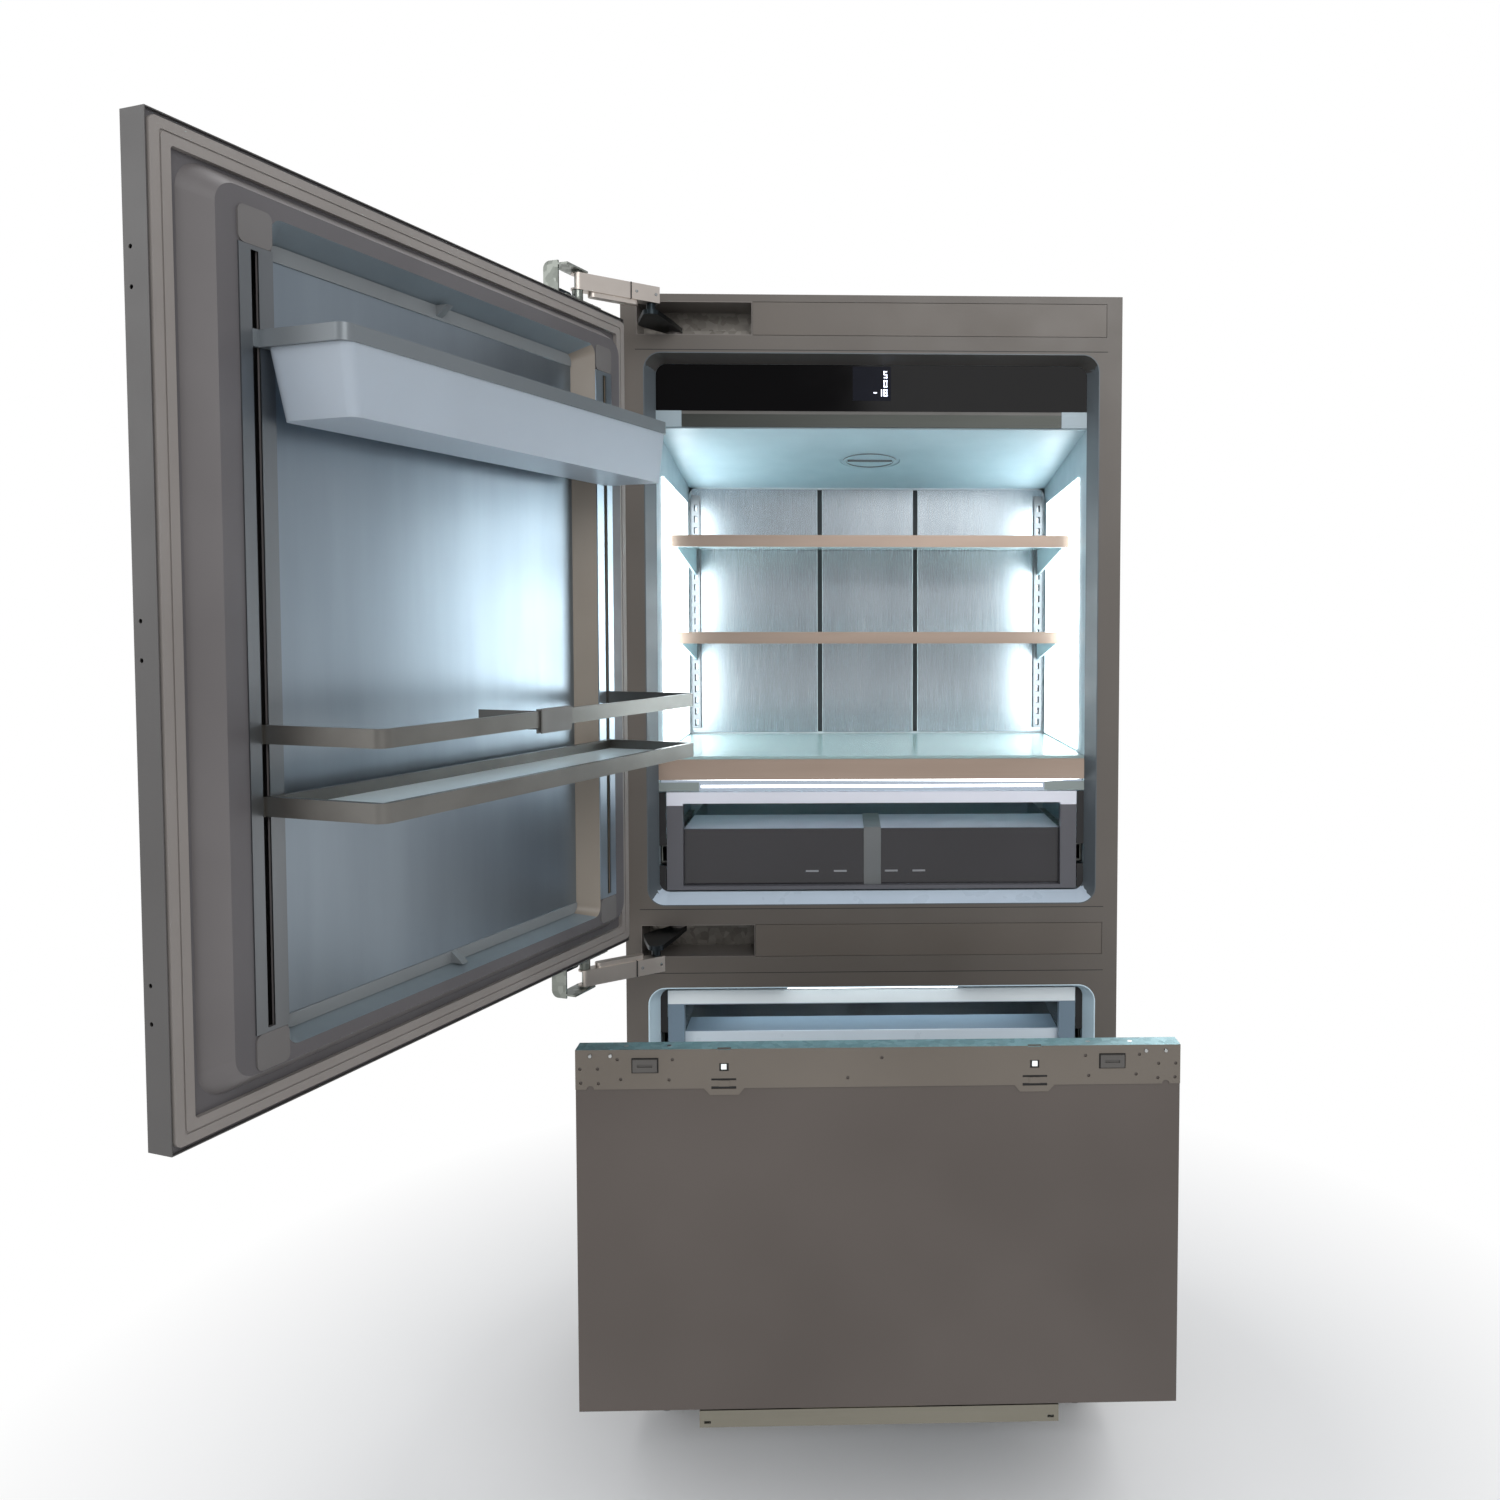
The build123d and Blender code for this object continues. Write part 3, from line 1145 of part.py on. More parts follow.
# The four pins: door pin B, arm pin C, and the link's fixed pin A
OPEN_B = open_point(*HINGE_PIN)
OPEN_C = (OPEN_B[0] + HINGE_ARM[0], OPEN_B[1] + HINGE_ARM[1])
FIXED_PIN = (DOOR_PIVOT[0] + HINGE_ARM[0], DOOR_PIVOT[1] + HINGE_ARM[1])
LINK_Z = (DOOR_Z[1] + LINK_LIFT, DOOR_Z[1] + LINK_LIFT + LINK_T)
ARM_Z = (POCKET_Z[1] - ARM_HEAD_ROOM - ARM_H, POCKET_Z[1] - ARM_HEAD_ROOM)
ARM_LENGTH = math.hypot(*HINGE_ARM)
ARM_TURN = math.degrees(math.atan2(HINGE_ARM[1], HINGE_ARM[0]))


def stadium(start, end, radius, z):
    """Round-ended bar between two upright axes."""
    length = math.dist(start, end)
    turn = math.degrees(math.atan2(end[1] - start[1], end[0] - start[0]))
    body = extrude(SlotCenterToCenter(length, 2 * radius), z[1] - z[0])
    return Pos((start[0] + end[0]) / 2, (start[1] + end[1]) / 2, z[0]) * Rot(0, 0, turn) * body


def on_arm(along, side, z):
    """Block on the arm: spans along it from the door pin, and across it."""
    return Pos(OPEN_B[0], OPEN_B[1], 0) * Rot(0, 0, ARM_TURN) * block(along, side, z)


def hinge_housings():
    """Sheet boxes set into the frame, each with a spring block and the link's fixed pin."""
    x, z = POCKET_X, POCKET_Z
    shell = block(x, (0, POCKET_D), z)
    shell -= block(grown(x, -POCKET_T), (-OVER, POCKET_D - POCKET_T), grown(z, -POCKET_T))
    depth, height = POCKET_BLOCK
    back = POCKET_D - POCKET_T
    shell += block(grown(x, -POCKET_T - depth), (back - depth, back), (z[0] + POCKET_T, z[0] + height))
    ax, ay = FIXED_PIN
    head = LINK_Z[1] + PIN_HEAD_H
    shell += disc(ax, ay, LINK_R[0], (z[0] + OVER, LINK_Z[0] - AXIAL_GAP))
    shell += disc(ax, ay, PIN_R, (z[0] + OVER, head))
    shell += disc(ax, ay, PIN_R + PIN_COLLAR - OVER, (LINK_Z[1] + AXIAL_GAP, head))
    return both_hinges(shell)


def hinge_link():
    """Leaf-shaped link: three circles in one hull, with the arm's pin standing on it."""
    a, c = FIXED_PIN, OPEN_C
    length = math.dist(a, c)
    side = ((c[1] - a[1]) / length, -(c[0] - a[0]) / length)
    bulge = ((a[0] + c[0]) / 2 + side[0] * LINK_BULGE_OUT, (a[1] + c[1]) / 2 + side[1] * LINK_BULGE_OUT)
    circles = Sketch()
    for centre, radius in ((a, LINK_R[0]), (c, LINK_R[1]), (bulge, LINK_BULGE_R)):
        circles += Pos(*centre) * Circle(radius)
    leaf = Pos(0, 0, LINK_Z[0]) * extrude(make_hull(circles.edges()), LINK_T)
    leaf += disc(*c, PIN_R + PIN_COLLAR, (LINK_Z[1], ARM_Z[0] - AXIAL_GAP))
    leaf += disc(*c, PIN_R, (LINK_Z[1], ARM_Z[1] + AXIAL_GAP))
    return leaf - disc(*a, PIN_R + PIN_FIT, grown(LINK_Z, OVER))


def hinge_arm():
    """Channel-section arm with a bearing block at its far end and a damper underneath."""
    arm = stadium(OPEN_B, OPEN_C, ARM_R, ARM_Z)
    inner_z = grown(ARM_Z, -ARM_T)
    arm -= on_arm((-2 * ARM_R, ARM_LENGTH + 2 * ARM_R), (ARM_T - ARM_R, 2 * ARM_R), inner_z)
    before, beyond = ARM_BLOCK
    arm += on_arm((ARM_LENGTH - before, ARM_LENGTH + beyond), both_ways(ARM_BLOCK_HALF), ARM_Z)
    ends = [(OPEN_B[0] + share * HINGE_ARM[0], OPEN_B[1] + share * HINGE_ARM[1]) for share in DAMPER_SPAN]
    arm += stadium(*ends, DAMPER_R, (ARM_Z[0] - DAMPER_H, ARM_Z[0] + ARM_T))
    arm -= disc(*OPEN_C, PIN_R + PIN_FIT, grown(ARM_Z, OVER))
    return arm - disc(*OPEN_B, PIN_R + OPEN_PIVOT_FIT, grown(ARM_Z, OVER))


def hinge_door_bracket():
    """Folded bracket on the door's top edge: base, end plate and top plate round the door pin."""
    s, n = HINGE_PIN
    foot = DOOR_Z[1]
    base_top = foot + BRACKET_T
    end_s = (END_PLATE_S, END_PLATE_S + BRACKET_T)
    lid_z = (foot + TOP_PLATE_RISE, foot + TOP_PLATE_RISE + BRACKET_T)
    bracket = block(BRACKET_S, BRACKET_N, (foot, base_top))
    bracket += block((END_PLATE_S - 4 * BRACKET_T, end_s[1]), END_PLATE_N, (foot, base_top))
    end_plate = block(end_s, END_PLATE_N, (foot, foot + END_PLATE_TOP))
    upper_edges = end_plate.edges().filter_by(Axis.X).sort_by(Axis.Z)[-2:]
    bracket += fillet(upper_edges.sort_by(Axis.Y)[0], END_PLATE_R)
    bracket += block((TOP_PLATE_S, end_s[1]), (END_PLATE_N[0] + END_PLATE_R, TOP_PLATE_N), lid_z)
    bracket += disc(s, n, PIN_R + PIN_COLLAR + OVER, (foot, ARM_Z[0] - AXIAL_GAP))
    bracket += disc(s, n, PIN_R, (foot, lid_z[1]))
    return bracket + disc(s, n, PIN_R + PIN_COLLAR, (ARM_Z[1] + AXIAL_GAP, lid_z[0]))


# Machine space and hidden cooling parts

def fan_rotor(radius, blades):
    """Axial fan: a hub with a shaft bore and twisted blades, axis along Z."""
    hub_r = radius * HUB_SHARE
    rotor = Cylinder(hub_r, FAN_DEPTH)
    blade = Box(radius - hub_r, FAN_DEPTH * BLADE_CHORD_SHARE, BLADE_T)
    blade = Pos((hub_r + radius) / 2 - OVER, 0, 0) * Rot(BLADE_TILT, 0, 0) * blade
    for i in range(blades):
        rotor += Rot(0, 0, i * 360 / blades) * blade
    return rotor - Cylinder(SHAFT_R + PIN_FIT, FAN_DEPTH + 2 * OVER)


def compressor():
    """Domed compressor can on a base plate with rubber-bushed feet."""
    x, y = COMPRESSOR_AT[0], CAB_D - COMPRESSOR_AT[1]
    z = MACHINE_FLOOR
    middle = z + COMPRESSOR_LIFT + COMPRESSOR_H / 2
    can = Pos(x, y, middle) * Cylinder(COMPRESSOR_R, COMPRESSOR_H)
    can = fillet(can.edges().filter_by(GeomType.CIRCLE), COMPRESSOR_DOME_R)
    width, depth, thick = COMPRESSOR_PLATE
    plate_z = (z + COMPRESSOR_FOOT_H, z + COMPRESSOR_FOOT_H + thick)
    can += block(grown((x, x), width / 2), grown((y, y), depth / 2), plate_z)
    can += disc(x, y, COMPRESSOR_R - COMPRESSOR_DOME_R / 2, (plate_z[0], z + 2 * COMPRESSOR_FOOT_H))
    step_x, step_y, radius = COMPRESSOR_FOOT
    for i in (-1, 1):
        for j in (-1, 1):
            can += disc(x + i * step_x, y + j * step_y, radius, (z, plate_z[0] + OVER))
    return can


def finned_coil(x, y, z, fins, rows):
    """Fin block with level tubes, filling a given space."""
    pitch = (z[1] - z[0]) / rows
    coil = along_x(x, sum(y) / 2, z[0] + pitch / 2, TUBE_R)
    for row in range(1, rows):
        coil += along_x(x, sum(y) / 2, z[0] + (row + 0.5) * pitch, TUBE_R)
    reach = (x[1] - x[0]) - 2 * TUBE_R
    for step in spaced(fins, reach / (fins - 1)):
        middle = sum(x) / 2 + step
        coil += block(grown((middle, middle), FIN_T / 2), y, z)
    return coil


def condenser():
    """Finned condenser with the bracket and shaft of its fan."""
    floor = MACHINE_FLOOR
    coil = finned_coil(CONDENSER_X, CONDENSER_Y, (floor, floor + CONDENSER_H), CONDENSER_FINS, CONDENSER_ROWS)
    x, fan_y, z = CONDENSER_FAN
    front = CONDENSER_Y[0]
    wide = grown((x, x), MOTOR_T)
    foot = block(wide, (front - FAN_OFFSET, front - FAN_OFFSET + MOTOR_R), (floor, z + MOTOR_T))
    foot += block(wide, (front - FAN_OFFSET, front + PAN_T), (floor, floor + GUARD_BAR))
    foot += along_y(x, (fan_y - FAN_DEPTH / 2 - 2 * OVER, front - FAN_OFFSET + OVER), z, SHAFT_R)
    return coil + foot


def evaporator(size, foot, fins):
    """Cooling coil against the liner's back: half width, depth, rise over the floor."""
    half, depth, rise = size
    y = (LINER_BACK - depth, LINER_BACK)
    z = (foot + rise, foot + rise + EVAPORATOR_H)
    return finned_coil(both_ways(half), y, z, fins, EVAPORATOR_ROWS)


def feet():
    """Screw feet in front and behind, each a disc on a threaded stem."""
    pads = []
    for x in both_ways(HALF_W - FOOT_IN):
        for y in (FOOT_Y[0], CAB_D - FOOT_Y[1]):
            pads.append(disc(x, y, FOOT_R, (0, FOOT_T)) + disc(x, y, STEM_R, (FOOT_T - OVER, BODY_Z)))
    return pads


def toe_grille():
    """Slotted kick panel, set back under the body."""
    y = (TOE_Y, TOE_Y + TOE_T)
    panel = block(both_ways(HALF_W - TOE_SIDE_GAP), y, (TOE_FLOOR_GAP, BODY_Z))
    columns, rows = TOE_SLOT_COUNT
    for row in range(rows):
        z = TOE_SLOT_Z + row * TOE_SLOT_PITCH[1]
        for x in spaced(columns, TOE_SLOT_PITCH[0]):
            panel -= block(grown((x, x), TOE_SLOT[0] / 2), grown(y, OVER), grown((z, z), TOE_SLOT[1] / 2))
    return panel


def mains_inlet():
    """Appliance inlet on the back panel."""
    y = (CAB_D - SHEET, CAB_D - SHEET + INLET_D)
    z = (BODY_Z + INLET_RISE[0], BODY_Z + INLET_RISE[1])
    x = (INLET_IN[0] - HALF_W, INLET_IN[1] - HALF_W)
    body = block(x, y, z)
    return body - block(grown(x, -INLET_WALL), (y[0] + INLET_FLOOR, y[1] + OVER), grown(z, -INLET_WALL))


def pulled(pieces, step=FREEZER_OUT):
    """Pieces of the freezer front, moved out along Y."""
    pieces = pieces if isinstance(pieces, list) else [pieces]
    return [Pos(0, -step, 0) * piece for piece in pieces]


def in_door(*pieces):
    """Pieces in the door's coordinates, moved to the open door."""
    flat = []
    for piece in pieces:
        flat.extend(piece if isinstance(piece, list) else [piece])
    return [swung(piece) for piece in flat]


def spun(rotor, x, y, z):
    """A fan rotor turned to face along Y at its place."""
    return Pos(x, y, z) * Rot(90, 0, 0) * rotor


os.makedirs("parts", exist_ok=True)

save("casing_wrap", casing_wrap())
save("back_panel", back_panel())
save("base_pan", base_pan())
save("front_frame", front_frame())
save("cover_strips", cover_strips())
save("hinge_housings", hinge_housings())
save("fridge_liner", fridge_liner())
save("freezer_liner", liner(FREEZER_MOUTH, FREEZER_ROOM))
save("control_panel", control_panel())
save("front_trims", front_trims())
save("ceiling_cover", ceiling_cover())
save("filter_cover", filter_cover())
save("led_lamps", led_lamps())
save("duct_covers", duct_covers())
save("back_wall_panels", back_wall_panels())
save("shelf_rails", shelf_rails())
UPPER_SHELF = (UPPER_SHELF_Y, UPPER_SHELF_Z)
LOWER_SHELF = (LOWER_SHELF_Y, LOWER_SHELF_Z)
save("shelf_frames", shelf_frame(*UPPER_SHELF), shelf_frame(*LOWER_SHELF))
save("shelf_glasses", shelf_glass(*UPPER_SHELF), shelf_glass(*LOWER_SHELF), full_shelf_glass())

save("fixed_runners", fixed_runner(FIXED_Y, FRESH_RUNNER_Z), fixed_runner(FIXED_Y, INNER_RUNNER_Z),
     fixed_runner(BASKET_FIXED_Y, BASKET_RUNNER_Z))
save("fresh_middle_runners", middle_runner(MIDDLE_Y, FRESH_RUNNER_Z))
save("inner_middle_runners", middle_runner(MIDDLE_Y, INNER_RUNNER_Z))
save("front_middle_runners", pulled(middle_runner(BASKET_MIDDLE_Y, BASKET_RUNNER_Z), FREEZER_OUT / 2))
save("fresh_drawer_runners", drawer_runner((DRAWER_Y[1], BIN_BACK), FRESH_RUNNER_Z))
save("inner_drawer_runners", drawer_runner((DRAWER_Y[1], BIN_BACK), INNER_RUNNER_Z))
save("front_drawer_runners", pulled(drawer_runner((PLUG_Y, BIN_BACK), BASKET_RUNNER_Z)))

save("fresh_drawer_frame", drawer_frame(FRESH_Z, FRESH_BAR), pane_clip())
save("fresh_drawer_window", drawer_pane(FRESH_Z, FRESH_PLATE_Z))
save("fresh_drawer_bin", drawer_bin((FRESH_Z[0] + BIN_FLOOR_GAP, FRESH_PLATE_Z), FRESH_RUNNER_Z))
save("fresh_drawer_lid", drawer_plate(FRESH_PLATE_Z, FRESH_PLATE_D))
save("inner_drawer_frame", drawer_frame(INNER_Z, INNER_BAR), drawer_plate(INNER_PLATE_Z, INNER_PLATE_D))
save("inner_drawer_window", drawer_pane(INNER_Z, INNER_PLATE_Z))
save("inner_drawer_bin", drawer_bin((INNER_Z[0] + BIN_FLOOR_GAP, INNER_PLATE_Z), INNER_RUNNER_Z))

FRONT_SEAL = (FRONT_FACE + FRONT_D - LEDGE_IN + LINER_T, -FIT)
save("freezer_front_panel", pulled(freezer_front_panel()))
save("freezer_front_liner", pulled(freezer_front_liner()))
front_ring = (grown(both_ways(FRONT_HALF), -SEAL_IN), grown(FRONT_Z, -FRONT_SEAL_END_IN))
save("freezer_front_gasket", pulled(gasket(*front_ring, *FRONT_SEAL)))
save("freezer_top_bracket", pulled(freezer_top_bracket()))
save("panel_adjusters", pulled(panel_adjusters()))
save("freezer_lower_rail", pulled(freezer_lower_rail()))
save("freezer_basket", pulled(freezer_basket()))

save("door_shell", in_door(door_shell()))
save("door_liner", in_door(door_liner()))
door_ring = (grown((0, DOOR_W), -SEAL_IN), grown(DOOR_Z, -DOOR_SEAL_END_IN))
save("door_gasket", in_door(gasket(*door_ring, LEDGE_N + LINER_T, GASKET_FACE)))
save("door_inner_panel", in_door(door_inner_panel()))
save("door_rails", in_door(door_rails()))
save("door_bin", in_door(door_bin()))
save("door_bin_rim", in_door(door_bin_rim()))
save("door_rack", in_door(door_rack()))
save("rack_glass", in_door(rack_glass()))
save("bottle_divider", in_door(bottle_divider()))
save("hinge_door_brackets", in_door(both_hinges(hinge_door_bracket())))
save("hinge_links", both_hinges(hinge_link()))
save("hinge_arms", both_hinges(hinge_arm()))

save("compressor", compressor())
save("condenser", condenser())
save("condenser_fan", spun(fan_rotor(CONDENSER_FAN_R, CONDENSER_FAN_BLADES), *CONDENSER_FAN))
save("freezer_fan", spun(fan_rotor(FREEZER_FAN_R, FREEZER_FAN_BLADES), 0, FREEZER_FAN_Y, FREEZER_FAN_Z))
save("evaporators", evaporator(FRIDGE_COIL, FRIDGE_ROOM[0], COIL_FINS[0]),
     evaporator(FREEZER_COIL, FREEZER_ROOM[0], COIL_FINS[1]))
save("feet", feet())
save("toe_grille", toe_grille())
save("mains_inlet", mains_inlet())
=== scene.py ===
import json
import math

import bmesh
import bpy
from mathutils import Matrix, Vector


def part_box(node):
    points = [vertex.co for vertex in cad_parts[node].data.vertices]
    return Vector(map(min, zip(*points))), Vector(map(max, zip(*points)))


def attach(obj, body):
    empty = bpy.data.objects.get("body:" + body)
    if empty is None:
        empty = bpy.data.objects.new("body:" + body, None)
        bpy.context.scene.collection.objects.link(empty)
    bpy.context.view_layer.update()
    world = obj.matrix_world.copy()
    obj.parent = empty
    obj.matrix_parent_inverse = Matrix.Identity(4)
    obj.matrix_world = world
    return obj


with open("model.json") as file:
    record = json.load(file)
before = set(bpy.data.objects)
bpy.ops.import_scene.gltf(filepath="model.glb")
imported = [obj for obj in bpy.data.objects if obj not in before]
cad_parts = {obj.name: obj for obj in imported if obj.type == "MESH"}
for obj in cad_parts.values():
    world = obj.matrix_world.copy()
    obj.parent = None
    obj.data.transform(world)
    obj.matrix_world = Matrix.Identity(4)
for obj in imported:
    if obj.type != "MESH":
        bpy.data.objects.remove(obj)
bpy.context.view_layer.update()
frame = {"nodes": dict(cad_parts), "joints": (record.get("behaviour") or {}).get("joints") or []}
NODES = frame["nodes"]
JOINTS = {joint["name"]: joint for joint in frame["joints"]}

# Sizes and places are in metres, and the bevel widths in SMOOTH_EDGE in millimetres
MM = 0.001
DOOR_OPEN = math.radians(111.17)
DOOR_CORNER = (-0.4515, -0.037)


# Camera at the photograph's viewing angle

CAMERA_LENS = 28.394
CAMERA_SHIFT = (-0.0844, -0.0501)
CAMERA_PLACE = (-0.0534, -2.1631, 1.5343)
CAMERA_TILT = math.radians(87.479)
CAMERA_TURN = math.radians(-1.597)

camera_data = bpy.data.cameras.new("camera")
camera_data.sensor_width = 36.0
camera_data.lens = CAMERA_LENS
camera_data.shift_x, camera_data.shift_y = CAMERA_SHIFT
camera_data.clip_end = 60.0
camera = bpy.data.objects.new("camera", camera_data)
camera.location = CAMERA_PLACE
camera.rotation_euler = (CAMERA_TILT, 0.0, CAMERA_TURN)
bpy.context.scene.collection.objects.link(camera)
bpy.context.scene.camera = camera
bpy.context.scene.view_settings.view_transform = "Standard"


# Node materials

def linear(colour):
    """Screen colour, 0 to 255, as the linear colour that a shader takes."""
    parts = [c / 255 for c in colour]
    return tuple(c / 12.92 if c < 0.04045 else ((c + 0.055) / 1.055) ** 2.4 for c in parts) + (1.0,)


def new_finish(name, colour, roughness, metallic=0.0, **sockets):
    """Principled material; extra sockets are named with _ for a space."""
    mat = bpy.data.materials.new(name)
    mat.use_nodes = True
    shader = mat.node_tree.nodes["Principled BSDF"]
    shader.inputs["Base Color"].default_value = linear(colour)
    shader.inputs["Roughness"].default_value = roughness
    shader.inputs["Metallic"].default_value = metallic
    for socket, value in sockets.items():
        shader.inputs[socket.replace("_", " ")].default_value = value
    return mat


def shader_of(mat):
    """The material's main shader node."""
    return mat.node_tree.nodes["Principled BSDF"]


def noise(mat, scale, stretch=(1, 1, 1), detail=3.0, turn=0.0):
    """Noise in the piece's own coordinates, turned about Z and squeezed along each axis."""
    tree = mat.node_tree
    place = tree.nodes.new("ShaderNodeTexCoord")
    mapping = tree.nodes.new("ShaderNodeMapping")
    mapping.vector_type = "TEXTURE"
    mapping.inputs["Rotation"].default_value = (0.0, 0.0, turn)
    mapping.inputs["Scale"].default_value = tuple(1 / s for s in stretch)
    texture = tree.nodes.new("ShaderNodeTexNoise")
    texture.inputs["Scale"].default_value = scale
    texture.inputs["Detail"].default_value = detail
    tree.links.new(place.outputs["Object"], mapping.inputs["Vector"])
    tree.links.new(mapping.outputs["Vector"], texture.inputs["Vector"])
    return texture.outputs["Fac"]


def shade(mat, value, dark, light, low=0.35, high=0.65):
    """Base colour between two screen colours, by a noise value."""
    tree = mat.node_tree
    ramp = tree.nodes.new("ShaderNodeValToRGB")
    ramp.color_ramp.elements[0].position = low
    ramp.color_ramp.elements[1].position = high
    ramp.color_ramp.elements[0].color = linear(dark)
    ramp.color_ramp.elements[1].color = linear(light)
    tree.links.new(value, ramp.inputs["Fac"])
    tree.links.new(ramp.outputs["Color"], shader_of(mat).inputs["Base Color"])


def gloss(mat, value, low, high):
    """Roughness between two numbers, by a noise value."""
    tree = mat.node_tree
    spread = tree.nodes.new("ShaderNodeMapRange")
    spread.inputs["From Min"].default_value = 0.3
    spread.inputs["From Max"].default_value = 0.7
    spread.inputs["To Min"].default_value = low
    spread.inputs["To Max"].default_value = high
    tree.links.new(value, spread.inputs["Value"])
    tree.links.new(spread.outputs["Result"], shader_of(mat).inputs["Roughness"])


def relief(mat, value, height, strength=0.5):
    """Bump of a height in millimetres, by a noise value."""
    tree = mat.node_tree
    bump = tree.nodes.new("ShaderNodeBump")
    bump.inputs["Strength"].default_value = strength
    bump.inputs["Distance"].default_value = height * MM
    tree.links.new(value, bump.inputs["Height"])
    tree.links.new(bump.outputs["Normal"], shader_of(mat).inputs["Normal"])


def two_tone(mat, height, below):
    """Keep the material's colour above a height, and give it another screen colour below."""
    tree = mat.node_tree
    shader = shader_of(mat)
    above = shader.inputs["Base Color"].links[0].from_socket
    place = tree.nodes.new("ShaderNodeTexCoord")
    split = tree.nodes.new("ShaderNodeSeparateXYZ")
    high = tree.nodes.new("ShaderNodeMath")
    high.operation = "GREATER_THAN"
    high.inputs[1].default_value = height
    mix = tree.nodes.new("ShaderNodeMix")
    mix.data_type = "RGBA"
    mix.inputs["A"].default_value = linear(below)
    tree.links.new(place.outputs["Object"], split.inputs["Vector"])
    tree.links.new(split.outputs["Z"], high.inputs[0])
    tree.links.new(high.outputs["Value"], mix.inputs["Factor"])
    tree.links.new(above, mix.inputs["B"])
    tree.links.new(mix.outputs["Result"], shader.inputs["Base Color"])


def near(colour, step):
    """The colour, lighter or darker by a step."""
    return tuple(max(0, min(255, c + step)) for c in colour)


def painted(name, colour, roughness=0.42, **sockets):
    """Satin powder coat with a fine orange-peel surface."""
    mat = new_finish(name, colour, roughness, **sockets)
    cloud = noise(mat, scale=2.5, detail=2.0)
    shade(mat, cloud, near(colour, -4), near(colour, 4))
    gloss(mat, noise(mat, scale=9.0), roughness - 0.06, roughness + 0.06)
    relief(mat, noise(mat, scale=900.0, detail=1.0), height=0.03, strength=0.35)
    return mat


def moulded(name, colour, roughness=0.45, grain=1400.0, **sockets):
    """Moulded plastic with a fine even texture."""
    mat = new_finish(name, colour, roughness, **sockets)
    shade(mat, noise(mat, scale=6.0, detail=2.0), near(colour, -3), near(colour, 3))
    gloss(mat, noise(mat, scale=20.0), roughness - 0.05, roughness + 0.08)
    relief(mat, noise(mat, grain, detail=2.0), height=0.04, strength=0.3)
    return mat


def brushed(name, colour, along="Z", roughness=0.3, spread=5, turn=0.0, **sockets):
    """Metal brushed along one axis: fine streaks in gloss, and broad faint bands in colour."""
    mat = new_finish(name, colour, roughness, 1.0, **sockets)
    fine = tuple(0.008 if axis == along else 1.0 for axis in "XYZ")
    broad = tuple(0.12 if axis == along else 1.0 for axis in "XYZ")
    streaks = noise(mat, scale=1500.0, stretch=fine, detail=4.0, turn=turn)
    bands = noise(mat, scale=14.0, stretch=broad, detail=5.0, turn=turn)
    shade(mat, bands, near(colour, -spread), near(colour, spread))
    gloss(mat, streaks, roughness - 0.03, roughness + 0.04)
    relief(mat, streaks, height=0.01, strength=0.08)
    return mat


CRYSTALS_PER_METRE = 90.0


def zinc(name, colour, roughness=0.4, sparkle=0.1, spread=12):
    """Galvanised sheet with crystal spangle."""
    mat = new_finish(name, colour, roughness, 1.0)
    tree = mat.node_tree
    place = tree.nodes.new("ShaderNodeTexCoord")
    cells = tree.nodes.new("ShaderNodeTexVoronoi")
    cells.inputs["Scale"].default_value = CRYSTALS_PER_METRE
    tree.links.new(place.outputs["Object"], cells.inputs["Vector"])
    split = tree.nodes.new("ShaderNodeSeparateColor")
    tree.links.new(cells.outputs["Color"], split.inputs["Color"])
    shade(mat, split.outputs["Red"], near(colour, -spread), near(colour, spread), 0.0, 1.0)
    gloss(mat, split.outputs["Green"], roughness - sparkle, roughness + sparkle)
    return mat


def see_through(name, colour, roughness, weight, ior=1.45, ripple=0.0):
    """Glass or clear plastic."""
    mat = new_finish(name, colour, roughness, 0.0, Transmission_Weight=weight, IOR=ior)
    shade(mat, noise(mat, scale=4.0), near(colour, -3), near(colour, 3))
    if ripple:
        relief(mat, noise(mat, scale=500.0, detail=2.0), ripple, strength=0.3)
    return mat


def glowing(name, colour, strength, roughness=0.4):
    """Lamp cover that gives light, a little uneven over its face; also gives a glow of painted light to
    parts that are no lamps.
    """
    mat = new_finish(name, colour, roughness)
    shade(mat, noise(mat, scale=30.0), near(colour, -2), near(colour, 2))
    shader = shader_of(mat)
    shader.inputs["Emission Color"].default_value = linear(colour)
    shader.inputs["Emission Strength"].default_value = strength
    return mat


# The object's finishes, and some painted light and shade, in screen colours

DRAWER_BAR_FOOT = 1.195
FREEZER_BAR_FOOT = 0.8225

TAUPE = painted("taupe_frame", (97, 91, 85), 0.4)
TAUPE_STRIP = painted("taupe_strip", (98, 91, 84), 0.38)
TAUPE_FRONT = painted("taupe_front", (85, 77, 72), 0.38)
# Dark joints, and also painted shade: the gaps beside the drawers, the runners' front ends and the
# bracket's slots.
SEAM_AND_SHADE = moulded("dark_seam_and_painted_shade", (34, 33, 34), 0.6)
DOOR_SKIN = painted("door_skin", (80, 78, 77), 0.4)
CASING = zinc("casing_zinc", (150, 150, 148), 0.48, 0.03, 7)
REAR = zinc("rear_zinc", (160, 161, 160), 0.46, 0.04, 8)
WALL = moulded("liner_wall", (160, 176, 184), 0.36)
